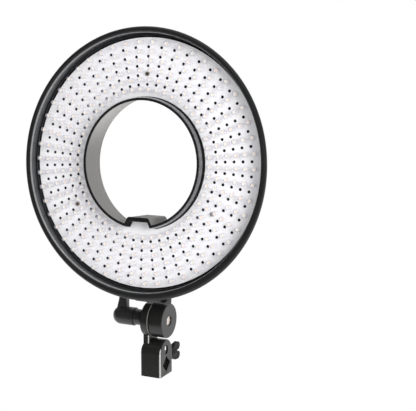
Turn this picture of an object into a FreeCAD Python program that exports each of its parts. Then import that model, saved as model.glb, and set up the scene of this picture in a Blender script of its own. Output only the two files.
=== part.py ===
import FreeCAD, Part
import math
import os
from types import SimpleNamespace

import Sketcher

# LED ring light on a tilting stand bracket, in millimetres.
# The stand's stud comes up through the origin along Z. The light faces -Y, and X is to its right.
# Pieces of the ring are drawn in the ring's own frame: its centre is the origin, the front of the LED board
# is at depth 0, and depth runs along +Y, away from the viewer. They are then set on the tilt joint.

SIZES = {
    # How the ring leans at rest, and where the tilt joint lies
    "rest_tilt": 5.42,
    "axis_below_rim": 37.4,
    "axis_behind_plate": 9.5,
    "axis_clearance": 3.5,
    "joint_radius": 23.5,
    "joint_edge": 1.0,
    # Front rim
    "rim_radius": 175.0,
    "rim_bead_radius": 4.0,
    "rim_bead_depth": 13.2,
    "rim_draft": 6.1,
    "rim_wall": 2.2,
    "rim_foot_inset": 10.6,
    "rim_foot_gap": 5.8,
    # Rear shell
    "parting_depth": 2.0,
    "shell_depth": 37.0,
    "shell_wall": 2.5,
    "shell_knee_depth": 10.0,
    "shell_knee_inset": 3.6,
    "shell_back_inset": 24.5,
    "shell_corner_radius": 7.0,
    "shell_corner_width": 6.0,
    "shell_corner_depth": 5.5,
    "shell_inner_drop": 1.5,
    "shell_inner_inset": 2.05,
    "shell_knee_drop": 1.0,
    "tongue_length": 5.0,
    "tongue_wall": 2.0,
    "fit_gap": 0.2,
    "thread_gap": 0.04,
    "running_gap": 0.08,
    "overrun": 1.0,
    # Cooling slots in the shell's back
    "slot_count": 24,
    "slot_margin": 5.8,
    "slot_length": 14.0,
    "slot_width": 2.6,
    # Centre tube, its black skirt and the cable channel along its bottom
    "tube_radius": 81.3,
    "tube_flare": 7.9,
    "tube_front_depth": 12.5,
    "tube_wall": 1.8,
    "skirt_overhang": 0.4,
    "skirt_lip_width": 3.3,
    "skirt_lip_thickness": 2.0,
    "skirt_wall": 1.1,
    "channel_rise": 11.8,
    "channel_width": 30.0,
    "channel_side_slope": 0.5,
    "channel_corner": 4.4,
    # LED board, spreader and the LEDs
    "board_edge_gap": 2.1,
    "board_thickness": 1.6,
    "spreader_inset": 1.5,
    "spreader_thickness": 1.5,
    "led_rings": 6,
    "leds_per_ring": 50,
    "led_inner_inset": 9.4,
    "led_outer_inset": 8.4,
    "led_width": 5.3,
    "led_corner_share": 0.95,
    "led_height": 12.4,
    "led_dome_height": 2.4,
    # Screws and posts
    "board_screw_shift": 1.7,
    "board_screw_lean": 0.8,
    "m3_radius": 1.5,
    "m3_head_radius": 2.75,
    "m3_head_height": 1.8,
    "m3_nut_width": 5.5,
    "m3_nut_height": 2.4,
    "m3_thread_end": 1.0,
    "post_inset": 35.0,
    "post_count": 6,
    "post_width": 6.5,
    "post_thread": 8.0,
    "m5_radius": 2.5,
    "m5_head_radius": 4.75,
    "m5_head_height": 2.8,
    # Driver electronics
    "driver_width": 80.0,
    "driver_height": 34.0,
    "driver_depth": 22.0,
    "driver_thickness": 1.6,
    "driver_boss_radius": 3.0,
    "driver_hole_inset_x": 5.0,
    "driver_hole_inset_z": 6.0,
    "capacitor_radius": 5.0,
    "capacitor_height": 14.0,
    "capacitor_inset": 16.0,
    "capacitor_pitch": 13.0,
    "inductor_radius": 9.0,
    "inductor_hole_radius": 4.0,
    "inductor_height": 9.0,
    "inductor_shift": 8.0,
    "heatsink_inset": 20.0,
    "heatsink_width": 11.0,
    "heatsink_height": 12.0,
    "heatsink_length": 22.0,
    "heatsink_fin": 1.4,
    "heatsink_gaps": 3,
    "heatsink_base": 3.0,
    # Controls on the back
    "control_shift": 3.15,
    "dimmer_angle": 318.0,
    "switch_angle": 340.0,
    "inlet_angle": 292.0,
    "dimmer_body_radius": 8.5,
    "dimmer_body_length": 9.0,
    "dimmer_bush_radius": 4.5,
    "dimmer_bush_length": 6.0,
    "dimmer_shaft_radius": 3.0,
    "dimmer_floor": 3.0,
    "dimmer_knob_radius": 9.0,
    "dimmer_knob_height": 13.5,
    "dimmer_knob_gap": 0.4,
    "dimmer_skirt": 2.0,
    "dimmer_step": 0.8,
    "dimmer_draft": 0.6,
    "dimmer_mark_width": 1.2,
    "dimmer_mark_depth": 1.0,
    "dimmer_mark_start": 0.35,
    "switch_width": 12.8,
    "switch_height": 19.0,
    "switch_bezel": 1.6,
    "switch_bezel_thickness": 2.0,
    "switch_depth": 14.0,
    "rocker_width": 9.6,
    "rocker_radius": 7.4,
    "rocker_pin_radius": 1.0,
    "rocker_pin_length": 1.0,
    "rocker_gap": 0.5,
    "rocker_angle": 10.0,
    "rocker_crown": 2.2,
    "rocker_dip": 1.3,
    "inlet_radius": 5.5,
    "inlet_flange_radius": 7.0,
    "inlet_flange_thickness": 1.6,
    "inlet_bore_radius": 3.2,
    "inlet_bore_depth": 9.5,
    "inlet_pin_radius": 1.05,
    "inlet_pin_setback": 1.5,
    "inlet_board_gap": 1.7,
    # Plate that carries the ring, and the casting of the upper joint half
    "plate_width": 54.0,
    "plate_thickness": 1.8,
    "plate_overlap": 32.5,
    "plate_axis_gap": 0.7,
    "plate_corner": 6.0,
    "plate_screw_spread": 36.0,
    "plate_screw_margin": 6.0,
    "plate_screw_pitch": 19.0,
    "backing_thickness": 2.0,
    "backing_margin": 5.0,
    "flange_width": 46.0,
    "flange_margin": 2.2,
    "flange_height": 24.0,
    "flange_thickness": 4.0,
    "flange_screw_spread": 34.0,
    "flange_screw_inset": 4.5,
    "tongue_thickness": 6.0,
    "tongue_right": 14.4,
    "rib_width": 6.0,
    "rib_depth": 16.0,
    "rib_height": 22.0,
    "rib_end": 14.0,
    "drum_right": 19.9,
    "washer_radius": 19.0,
    "washer_thickness": 1.0,
    "bolt_radius": 4.0,
    "bolt_head_width": 13.0,
    "bolt_head_height": 5.3,
    "bolt_recess_depth": 7.0,
    # Stand block
    "block_width": 30.4,
    "block_depth": 36.0,
    "block_height": 49.5,
    "block_corner": 2.5,
    "stud_radius": 8.1,
    "stud_depth": 27.0,
    "cross_hole_height": 15.5,
    "cross_hole_half_diagonal": 11.2,
    "cross_hole_wall": 2.1,
    "window_height": 12.6,
    "window_width": 9.6,
    "window_below_top": 14.1,
    "pocket_cheek": 3.0,
    "pocket_width": 11.2,
    "pocket_front": 6.0,
    "pocket_height": 13.6,
    "neck_width": 8.1,
    "neck_depth": 25.0,
    "neck_root": 2.0,
    "disc_left": -13.1,
    "disc_right": -1.5,
    "shoulder_drop": 13.5,
    "shoulder_rise": 8.0,
    "boss_radius": 8.5,
    "boss_length": 4.0,
    "insert_radius": 6.1,
    "insert_length": 9.0,
    "pad_radius": 5.9,
    "pad_thickness": 3.8,
    "pad_setback": 0.3,
    # Wing screw
    "wing_shank_radius": 4.0,
    "wing_shank_grip": 12.0,
    "wing_tip_radius": 2.5,
    "wing_tip_length": 2.4,
    "wing_hub_radius": 6.0,
    "wing_hub_gap": 12.0,
    "wing_hub_length": 19.0,
    "wing_hub_bevel": 2.0,
    "wing_foot_share": 0.4,
    "wing_waist_share": 0.75,
    "wing_shoulder_share": 1.6,
    "wing_lobe_start": 27.0,
    "wing_lobe_radius": 5.6,
    "wing_lobe_height": 6.8,
    "wing_thickness": 5.6,
    # Clamp lever
    "lever_hub_radius": 12.5,
    "lever_hub_length": 21.8,
    "lever_hub_bevel": 0.8,
    "lever_collar_length": 17.7,
    "lever_collar_radius": 10.9,
    "lever_collar_step": 9.2,
    "lever_collar_slope": 1.5,
    "lever_nut_radius": 6.5,
    "lever_nut_length": 18.0,
    "lever_arm_length": 52.0,
    "lever_arm_thickness": 8.0,
    "lever_arm_inset": 12.5,
    "lever_arm_root": 8.75,
    "lever_arm_foot_width": 15.5,
    "lever_arm_mid_width": 11.5,
    "lever_arm_mid_height": 24.0,
    "lever_arm_tip_radius": 4.6,
    "lever_arm_lean": 1.5,
    "bolt_grip": 16.0,
}


class Size:
    """A length or an angle that knows its value and its expression over the sheet."""

    def __init__(self, value, text):
        self.value = float(value)
        self.text = text

    def __add__(self, other):
        other = as_size(other)
        return Size(self.value + other.value, f"({self.text} + {other.text})")

    def __sub__(self, other):
        other = as_size(other)
        return Size(self.value - other.value, f"({self.text} - {other.text})")

    def __mul__(self, other):
        other = as_size(other)
        return Size(self.value * other.value, f"({self.text} * {other.text})")

    def __truediv__(self, other):
        other = as_size(other)
        return Size(self.value / other.value, f"({self.text} / {other.text})")

    def __radd__(self, other):
        return as_size(other) + self

    def __rsub__(self, other):
        return as_size(other) - self

    def __rmul__(self, other):
        return as_size(other) * self

    def __neg__(self):
        return Size(-self.value, f"(0 - {self.text})")

    def __float__(self):
        return self.value


def as_size(number):
    """Turn a bare number into a Size."""
    if isinstance(number, Size):
        return number
    return Size(number, repr(float(number)))


doc = FreeCAD.newDocument("RingLight")
sheet = doc.addObject("Spreadsheet::Sheet", "Sizes")
for row, (alias, number) in enumerate(SIZES.items(), start=1):
    sheet.set(f"A{row}", alias)
    sheet.set(f"B{row}", str(number))
    sheet.setAlias(f"B{row}", alias)
doc.recompute()

dim = SimpleNamespace(**{alias: Size(number, f"Sizes.{alias}") for alias, number in SIZES.items()})
subparts = []


# Drawing helpers

def bind(owner, name, size):
    """Set a property and tie it to the sheet."""
    size = as_size(size)
    setattr(owner, name, size.value)
    owner.setExpression(name, size.text)


def fix_point(sketch, side, end, x, y):
    """Hold one end of a side at a place that follows the sheet."""
    for kind, number, axis in (("DistanceX", as_size(x), -2), ("DistanceY", as_size(y), -1)):
        if number.value == 0:
            sketch.addConstraint(Sketcher.Constraint("PointOnObject", side, end, axis))
            continue
        index = sketch.addConstraint(Sketcher.Constraint(kind, -1, 1, side, end, number.value))
        sketch.setExpression(f"Constraints[{index}]", number.text)


def arc_between(start, end, radius, left):
    """Give the arc from start to end that bulges to the left or right of its chord, under half a turn."""
    chord = end - start
    middle = (start + end) * 0.5
    normal = FreeCAD.Vector(-chord.y, chord.x, 0)
    normal.normalize()
    rise = math.sqrt(max(radius ** 2 - (chord.Length / 2) ** 2, 0))
    centre = middle - normal * rise if left else middle + normal * rise
    first, last = (end, start) if left else (start, end)
    angle_a = math.atan2(first.y - centre.y, first.x - centre.x)
    angle_b = math.atan2(last.y - centre.y, last.x - centre.x)
    if angle_b < angle_a:
        angle_b += 2 * math.pi
    circle = Part.Circle(centre, FreeCAD.Vector(0, 0, 1), radius)
    return Part.ArcOfCircle(circle, angle_a, angle_b)


def draw_outline(sketch, corners):
    """Draw a closed outline. A corner is (x, y), or (x, y, radius) where an arc leaves it.

    A positive radius bulges to the left of the way along the outline, a negative one to the right.
    """
    ends = []
    for number, corner in enumerate(corners):
        following = corners[(number + 1) % len(corners)]
        start = FreeCAD.Vector(float(corner[0]), float(corner[1]), 0)
        end = FreeCAD.Vector(float(following[0]), float(following[1]), 0)
        if len(corner) == 2:
            side = sketch.addGeometry(Part.LineSegment(start, end), False)
            ends.append((side, 1, 2))
        else:
            left = float(corner[2]) > 0
            radius = as_size(corner[2]) if left else -as_size(corner[2])
            side = sketch.addGeometry(arc_between(start, end, radius.value, left), False)
            index = sketch.addConstraint(Sketcher.Constraint("Radius", side, radius.value))
            sketch.setExpression(f"Constraints[{index}]", radius.text)
            ends.append((side, 2, 1) if left else (side, 1, 2))
    for number, (side, first, last) in enumerate(ends):
        next_side, next_first, _ = ends[(number + 1) % len(ends)]
        sketch.addConstraint(Sketcher.Constraint("Coincident", side, last, next_side, next_first))
        fix_point(sketch, side, first, corners[number][0], corners[number][1])


def draw_circle(sketch, x, y, radius):
    """Draw a circle whose centre and radius follow the sheet."""
    radius = as_size(radius)
    centre = FreeCAD.Vector(float(x), float(y), 0)
    side = sketch.addGeometry(Part.Circle(centre, FreeCAD.Vector(0, 0, 1), radius.value), False)
    index = sketch.addConstraint(Sketcher.Constraint("Radius", side, radius.value))
    sketch.setExpression(f"Constraints[{index}]", radius.text)
    fix_point(sketch, side, 3, x, y)


def new_body(label):
    """Start a sub-part that is built from features."""
    body = doc.addObject("PartDesign::Body", label)
    body.Label = label
    return body


def origin_feature(body, role):
    """Find an origin plane or axis of a body by its role."""
    return next(item for item in body.Origin.OriginFeatures if item.Role == role)


def sketch_on(body, role, offset, draw):
    """Make a sketch on an origin plane, moved along the plane's normal, and let draw fill it."""
    sketch = body.newObject("Sketcher::SketchObject", body.Label + "_sketch")
    sketch.AttachmentSupport = [(origin_feature(body, role), "")]
    sketch.MapMode = "FlatFace"
    offset = as_size(offset)
    sketch.AttachmentOffset = FreeCAD.Placement(FreeCAD.Vector(0, 0, offset.value), FreeCAD.Rotation())
    sketch.setExpression(".AttachmentOffset.Base.z", offset.text)
    draw(sketch)
    return sketch


def add(body, role, low, high, draw):
    """Pad an outline from low to high along the world axis that the plane faces."""
    start = -as_size(high) if role == "XZ_Plane" else as_size(low)
    sketch = sketch_on(body, role, start, draw)
    pad = body.newObject("PartDesign::Pad", body.Label + "_pad")
    pad.Profile = sketch
    bind(pad, "Length", as_size(high) - low)
    return pad


def cut(body, role, low, high, draw):
    """Cut an outline from low to high along the world axis that the plane faces."""
    before = current_volume(body)
    start = -as_size(low) if role == "XZ_Plane" else as_size(high)
    sketch = sketch_on(body, role, start, draw)
    pocket = body.newObject("PartDesign::Pocket", body.Label + "_cut")
    pocket.Profile = sketch
    bind(pocket, "Length", as_size(high) - low)
    if not current_volume(body) < before:
        raise RuntimeError(f"{pocket.Name} cuts nothing")
    return pocket


def current_volume(body):
    """Recompute and give a body's volume."""
    doc.recompute()
    return body.Shape.Volume


def turn(body, role, axis, corners):
    """Revolve an outline a full turn around an axis of its own sketch."""
    sketch = sketch_on(body, role, 0, lambda sketch: draw_outline(sketch, corners))
    revolved = body.newObject("PartDesign::Revolution", body.Label + "_turned")
    revolved.Profile = sketch
    revolved.ReferenceAxis = (sketch, [axis])
    revolved.Angle = 360
    return revolved


def rectangle(x_low, x_high, y_low, y_high):
    """Give the corners of an upright rectangle."""
    return [(x_low, y_low), (x_high, y_low), (x_high, y_high), (x_low, y_high)]


def dress(body, kind, edges, size):
    """Round or bevel the given edges of a body's last feature."""
    base = body.Tip
    feature = body.newObject(f"PartDesign::{kind}", f"{body.Label}_{kind.lower()}")
    feature.Base = (base, edges)
    bind(feature, "Radius" if kind == "Fillet" else "Size", size)
    return feature


def edges_where(shape, test):
    """Name the edges whose middle point and shape pass a test."""
    names = []
    for number, edge in enumerate(shape.Edges, start=1):
        middle = edge.valueAt((edge.FirstParameter + edge.LastParameter) / 2)
        if test(edge, middle):
            names.append(f"Edge{number}")
    return names


def finish(item, placement=None):
    """Keep a document object as a sub-part of the light, set in its place."""
    if placement is not None:
        item.Placement = placement.multiply(item.Placement)
    subparts.append(item)


def group(label, shapes, placement=None):
    """Keep several equal solids as one sub-part."""
    feature = doc.addObject("Part::Feature", label)
    feature.Label = label
    feature.Shape = Part.makeCompound(shapes) if len(shapes) > 1 else shapes[0]
    finish(feature, placement)


def rod(radius, start, end, x=0.0, z=0.0):
    """Give a solid cylinder along Y between two depths."""
    place = FreeCAD.Vector(float(x), float(start), float(z))
    return Part.makeCylinder(float(radius), float(end) - float(start), place, FreeCAD.Vector(0, 1, 0))


def hexagon(across, start, end, x=0.0, z=0.0):
    """Give a solid hexagonal bar along Y between two depths."""
    corner = float(across) / math.sqrt(3)
    points = []
    for number in range(7):
        angle = math.radians(60 * number)
        place = (float(x) + corner * math.cos(angle), float(start), float(z) + corner * math.sin(angle))
        points.append(FreeCAD.Vector(*place))
    face = Part.Face(Part.makePolygon(points))
    return face.extrude(FreeCAD.Vector(0, float(end) - float(start), 0))


def on_circle(radius, degrees):
    """Give the place on a circle around the ring's centre, as X and Z."""
    angle = math.radians(float(degrees))
    return float(radius) * math.cos(angle), float(radius) * math.sin(angle)


# Sizes that follow from the ones in the sheet

parting_radius = dim.rim_radius - dim.rim_draft
bead_centre = dim.rim_radius - dim.rim_bead_radius
rim_inside = parting_radius - dim.rim_wall
rim_foot_radius = dim.rim_radius - dim.rim_foot_inset
tongue_radius = rim_inside - dim.fit_gap
shell_inside = dim.shell_depth - dim.shell_wall
shell_back_radius = dim.rim_radius - dim.shell_back_inset
tube_back_radius = dim.tube_radius + dim.tube_flare
shell_hole_radius = tube_back_radius + dim.tube_wall + dim.fit_gap
board_radius = rim_foot_radius - dim.board_edge_gap
spreader_back = dim.board_thickness + dim.spreader_thickness
driver_back = dim.driver_depth + dim.driver_thickness
flat_middle = (shell_back_radius + shell_hole_radius) / 2
control_circle = flat_middle + dim.control_shift
post_circle = dim.rim_radius - dim.post_inset
plate_back = dim.shell_depth + dim.plate_thickness
plate_top = shell_back_radius - dim.plate_overlap
axis_depth = plate_back + dim.axis_behind_plate
axis_below_centre = dim.rim_radius + dim.axis_below_rim
axis_z = -axis_below_centre
plate_bottom = axis_below_centre - dim.joint_radius - dim.plate_axis_gap
flange_bottom = plate_bottom - dim.flange_margin
flange_screw_z = dim.flange_screw_inset - flange_bottom
axis_height = dim.block_height + dim.joint_radius + dim.axis_clearance
drum_left = dim.disc_right + dim.washer_thickness + dim.fit_gap / 2
lever_hub_right = dim.disc_left - dim.fit_gap - dim.lever_collar_length
lever_nut_left = lever_hub_right - dim.lever_nut_length


def tube_radius_at(depth):
    """Give the tube's inner radius at a depth."""
    slope = dim.tube_flare / (dim.shell_depth + dim.tube_front_depth)
    return dim.tube_radius + slope * (dim.tube_front_depth + depth)


skirt_board_radius = tube_radius_at(0) + dim.tube_wall + dim.fit_gap + dim.skirt_wall
led_first_radius = skirt_board_radius + dim.led_inner_inset
led_pitch = (rim_foot_radius - dim.led_outer_inset - led_first_radius) / (dim.led_rings - 1)
board_screw_circle = led_first_radius + 1.5 * led_pitch + dim.board_screw_shift

# Where the ring's own frame stands in the light

lean = FreeCAD.Rotation(FreeCAD.Vector(1, 0, 0), -dim.rest_tilt.value)
axis_point = FreeCAD.Vector(0, 0, axis_height.value)
centre_from_axis = FreeCAD.Vector(0, -axis_depth.value, axis_below_centre.value)
head_place = FreeCAD.Placement(axis_point + lean.multVec(centre_from_axis), lean)
joint_place = FreeCAD.Placement(axis_point, FreeCAD.Rotation())


# Front rim: a moulded bezel with a rounded bead and a sloping inner wall that ends above the board's free edge

def make_front_rim():
    body = new_body("front_rim")
    bead_front = -(dim.rim_bead_depth + dim.rim_bead_radius)
    turn(body, "YZ_Plane", "H_Axis", [
        (dim.parting_depth, parting_radius),
        (-dim.rim_bead_depth, dim.rim_radius, -dim.rim_bead_radius),
        (bead_front, bead_centre, -dim.rim_bead_radius),
        (-dim.rim_bead_depth, bead_centre - dim.rim_bead_radius),
        (-dim.rim_foot_gap, rim_foot_radius),
        (-dim.rim_foot_gap, rim_foot_radius + dim.rim_wall),
        (-dim.rim_bead_depth, bead_centre - dim.rim_bead_radius + dim.rim_wall),
        (bead_front + dim.rim_wall, bead_centre),
        (-dim.rim_bead_depth, dim.rim_radius - dim.rim_wall),
        (dim.parting_depth, rim_inside),
    ])
    finish(body, head_place)


# Rear shell: a dished moulding with a tongue inside the rim, cooling slots, bosses and openings for the controls

def driver_holes():
    """Give the places of the driver board's four screws, as X and Z in the ring's frame."""
    spread_x = dim.driver_width / 2 - dim.driver_hole_inset_x
    spread_z = dim.driver_height / 2 - dim.driver_hole_inset_z
    return [(spread_x * side, spread_z * up - flat_middle) for side in (-1, 1) for up in (-1, 1)]


def plate_screws():
    """Give the places of the four screws between the plate and the shell, as X and Z."""
    half = dim.plate_screw_spread / 2
    inner = plate_top + dim.plate_screw_margin
    return [(half * side, -radius) for side in (-1, 1) for radius in (inner, inner + dim.plate_screw_pitch)]


def channel_outline(inset, bottom):
    """Give the outline of the channel along the bottom of the tube, moved in by a wall, with rounded shoulders."""
    inset = as_size(inset)
    slope = dim.channel_side_slope
    side_length = math.sqrt(1 + slope.value ** 2)
    side = Size(side_length, f"sqrt(1 + {slope.text} ^ 2)")
    top = -(dim.tube_radius - dim.channel_rise) - inset
    half_top = dim.channel_width / 2 - inset * side + slope * inset
    half_bottom = half_top + (top + bottom) * slope
    radius = dim.channel_corner - inset
    tangent = radius * (side - slope)
    shoulder_x = half_top + tangent * slope / side
    shoulder_z = top - tangent / side
    return [
        (shoulder_x, shoulder_z, -radius),
        (half_top - tangent, top),
        (tangent - half_top, top, -radius),
        (-shoulder_x, shoulder_z),
        (-half_bottom, -as_size(bottom)),
        (half_bottom, -as_size(bottom)),
    ]


def make_rear_shell():
    body = new_body("rear_shell")
    knee_radius = parting_radius - dim.shell_knee_inset
    corner_radius = shell_back_radius + dim.shell_corner_width
    corner_depth = dim.shell_depth - dim.shell_corner_depth
    turn(body, "YZ_Plane", "H_Axis", [
        (dim.parting_depth, parting_radius),
        (dim.shell_knee_depth, knee_radius),
        (corner_depth, corner_radius, dim.shell_corner_radius),
        (dim.shell_depth, shell_back_radius),
        (dim.shell_depth, shell_hole_radius),
        (shell_inside, shell_hole_radius),
        (shell_inside, shell_back_radius - dim.shell_wall / 2),
        (corner_depth - dim.shell_inner_drop, corner_radius - dim.shell_inner_inset),
        (dim.shell_knee_depth - dim.shell_knee_drop, knee_radius - dim.shell_wall),
        (dim.parting_depth - dim.tongue_length, tongue_radius - dim.tongue_wall),
        (dim.parting_depth - dim.tongue_length, tongue_radius),
        (dim.parting_depth, tongue_radius),
    ])
    channel_inset = dim.tube_wall + 3 * dim.fit_gap
    add(body, "XZ_Plane", shell_inside, dim.shell_depth,
        lambda sketch: draw_outline(sketch, channel_outline(channel_inset, shell_hole_radius + dim.overrun)))
    for x, z in driver_holes():
        add(body, "XZ_Plane", driver_back, shell_inside + dim.fit_gap,
            lambda sketch: draw_circle(sketch, x, z, dim.driver_boss_radius))
    slot = cut(body, "XZ_Plane", shell_inside - dim.overrun, dim.shell_depth + dim.overrun,
               lambda sketch: draw_outline(sketch, rectangle(
                   shell_hole_radius + dim.slot_margin, shell_hole_radius + dim.slot_margin + dim.slot_length,
                   -dim.slot_width / 2, dim.slot_width / 2)))
    slots = body.newObject("PartDesign::PolarPattern", "cooling_slots")
    slots.Originals = [slot]
    slots.Axis = (origin_feature(body, "Y_Axis"), [""])
    slots.Angle = 360
    slots.Occurrences = int(dim.slot_count.value)
    slots.setExpression("Occurrences", dim.slot_count.text)
    body.Tip = slots
    doc.recompute()

    def holes(sketch):
        for number in range(int(dim.post_count.value)):
            draw_circle(sketch, *on_circle(post_circle, number * 360 / dim.post_count.value),
                        dim.m3_radius + dim.fit_gap)
        for x, z in plate_screws():
            draw_circle(sketch, x, z, dim.m5_radius + dim.fit_gap)
        dimmer_hole = dim.dimmer_bush_radius + dim.fit_gap
        draw_circle(sketch, *on_circle(control_circle, dim.dimmer_angle), dimmer_hole)
        draw_circle(sketch, *on_circle(control_circle, dim.inlet_angle), dim.inlet_radius + dim.fit_gap)
        switch_x, switch_z = on_circle(control_circle, dim.switch_angle)
        half_width = dim.switch_width / 2 + dim.fit_gap
        half_height = dim.switch_height / 2 + dim.fit_gap
        draw_outline(sketch, rectangle(switch_x - half_width, switch_x + half_width,
                                       switch_z - half_height, switch_z + half_height))

    cut(body, "XZ_Plane", shell_inside - dim.overrun, dim.shell_depth + dim.overrun, holes)
    finish(body, head_place)


# Centre tube and skirt: cones along the hole, both keyed by the channel

def stand_along(item, front, back):
    """Turn a cone or a cylinder along Y and set its two depths."""
    bind(item, "Height", as_size(back) - front)
    item.Placement = FreeCAD.Placement(FreeCAD.Vector(0, float(front), 0),
                                       FreeCAD.Rotation(FreeCAD.Vector(1, 0, 0), -90))
    item.setExpression(".Placement.Base.y", as_size(front).text)
    return item


def cone(label, front_radius, back_radius, front, back):
    """Make a cone along Y, from its front radius to its back radius."""
    item = doc.addObject("Part::Cone", label)
    bind(item, "Radius1", front_radius)
    bind(item, "Radius2", back_radius)
    return stand_along(item, front, back)


def cylinder(label, radius, front, back):
    """Make a cylinder along Y."""
    item = doc.addObject("Part::Cylinder", label)
    bind(item, "Radius", radius)
    return stand_along(item, front, back)


def channel_bar(label, inset, front, back):
    """Make the channel's outline as a bar along Y that runs out past the tube."""
    body = new_body(label)
    bottom = board_radius
    add(body, "XZ_Plane", front, back, lambda sketch: draw_outline(sketch, channel_outline(inset, bottom)))
    return body


def take_away(label, base, tool):
    """Cut one object out of another."""
    result = doc.addObject("Part::Cut", label)
    result.Label = label
    result.Base = base
    result.Tool = tool
    return result


def keyed_ring(label, outer_radii, inner_radii, front, back, skin_inset, core_inset):
    """Make a ring along the hole whose wall also folds round the channel.

    The radii are at the front and at the back. The skin is the channel's side towards the hole, and the
    core is the side away from it.
    """
    outer = cone(label + "_outer", *outer_radii, front, back)
    inner = cone(label + "_inner", *inner_radii, front, back)
    skin = channel_bar(label + "_skin", skin_inset, front, back)
    core = channel_bar(label + "_core", core_inset, front, back)
    hole = take_away(label + "_hole", inner, skin)
    return take_away(label, take_away(label + "_body", outer, core), hole)


def make_centre_tube():
    tube = keyed_ring(
        "centre_tube",
        (dim.tube_radius + dim.tube_wall, tube_back_radius + dim.tube_wall),
        (dim.tube_radius, tube_back_radius),
        -dim.tube_front_depth, dim.shell_depth, 2 * dim.fit_gap, 2 * dim.fit_gap + dim.tube_wall)
    finish(tube, head_place)


def make_skirt():
    front = -dim.tube_front_depth - dim.skirt_lip_thickness - dim.fit_gap / 2
    lip_back = -dim.tube_front_depth - dim.fit_gap / 2
    lip_inner = dim.tube_radius - dim.skirt_overhang
    lip_outer = lip_inner + dim.skirt_lip_width
    sleeve_inset = 3 * dim.fit_gap + dim.tube_wall
    key_depth = sleeve_inset + dim.skirt_wall
    lip = keyed_ring("skirt_lip", (lip_outer, lip_outer + dim.fit_gap), (lip_inner, lip_inner + dim.fit_gap / 2),
                     front, lip_back, 0, key_depth)
    clearance = dim.tube_wall + dim.fit_gap
    sleeve = keyed_ring(
        "skirt_sleeve", (lip_outer + dim.fit_gap, skirt_board_radius),
        (tube_radius_at(lip_back) + clearance, tube_radius_at(0) + clearance), lip_back, -dim.fit_gap / 2,
        sleeve_inset, key_depth)
    skirt = doc.addObject("Part::MultiFuse", "hole_skirt")
    skirt.Label = "hole_skirt"
    skirt.Shapes = [lip, sleeve]
    finish(skirt, head_place)


# LED board and heat spreader: flat rings with a tab that fills the channel

def board_screw_places():
    """Give the places of the board screws: one at the top and two below that lean aside to pass the LEDs."""
    lean = dim.board_screw_lean.value
    return [on_circle(board_screw_circle, degrees) for degrees in (90, 210 + lean, 330 - lean)]


def keyed_plate(label, outer_radius, inner_radius, front, back, screw_radius):
    """Make a flat ring with the channel's tab and the holes of the board screws."""
    inset = 4 * dim.fit_gap + dim.tube_wall + dim.skirt_wall
    blank = cylinder(label + "_blank", outer_radius, front, back)
    hole = cylinder(label + "_round", inner_radius, front, back)
    tab = channel_bar(label + "_tab", inset, front, back)
    plain = take_away(label + "_plain", blank, take_away(label + "_hole", hole, tab))
    body = new_body(label + "_drill")

    def drill(sketch):
        for x, z in board_screw_places():
            draw_circle(sketch, x, z, screw_radius)

    add(body, "XZ_Plane", as_size(front) - dim.overrun, as_size(back) + dim.overrun, drill)
    return take_away(label, plain, body)


def make_board():
    board = keyed_plate("led_board", board_radius, skirt_board_radius + dim.fit_gap,
                        0, dim.board_thickness, dim.m3_radius + dim.fit_gap)
    finish(board, head_place)
    spreader = keyed_plate("heat_spreader", board_radius - dim.spreader_inset, skirt_board_radius + 4 * dim.fit_gap,
                           dim.board_thickness, spreader_back, dim.m3_radius + dim.fit_gap)
    finish(spreader, head_place)


# LEDs: six rings of fifty, each a clear body with a pointed dome, standing on the board

def led(radius, degrees):
    """Give one LED as a six-sided bullet that stands on the board."""
    x, z = on_circle(radius, degrees)
    corner = dim.led_width.value / math.sqrt(3) * dim.led_corner_share.value
    shoulder = -(dim.led_height.value - dim.led_dome_height.value)
    base = []
    collar = []
    for number in range(6):
        angle = math.radians(degrees + 60 * number)
        place = (x + corner * math.cos(angle), z + corner * math.sin(angle))
        base.append(FreeCAD.Vector(place[0], 0, place[1]))
        collar.append(FreeCAD.Vector(place[0], shoulder, place[1]))
    tip = FreeCAD.Vector(x, -dim.led_height.value, z)
    faces = [Part.Face(Part.makePolygon(base + base[:1]))]
    for number in range(6):
        after = (number + 1) % 6
        side = [base[number], base[after], collar[after], collar[number], base[number]]
        faces.append(Part.Face(Part.makePolygon(side)))
        faces.append(Part.Face(Part.makePolygon([collar[number], collar[after], tip, collar[number]])))
    solid = Part.Solid(Part.Shell(faces))
    if solid.Volume < 0:
        solid.reverse()
    return solid


def make_leds():
    count = int(dim.leds_per_ring.value)
    for ring in range(int(dim.led_rings.value)):
        radius = led_first_radius + ring * led_pitch
        leds = [led(radius, 90 + (number + 0.5) * 360 / count) for number in range(count)]
        group(f"led_ring_{ring + 1}", leds, head_place)


# Screws, nuts and posts of the ring

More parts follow.
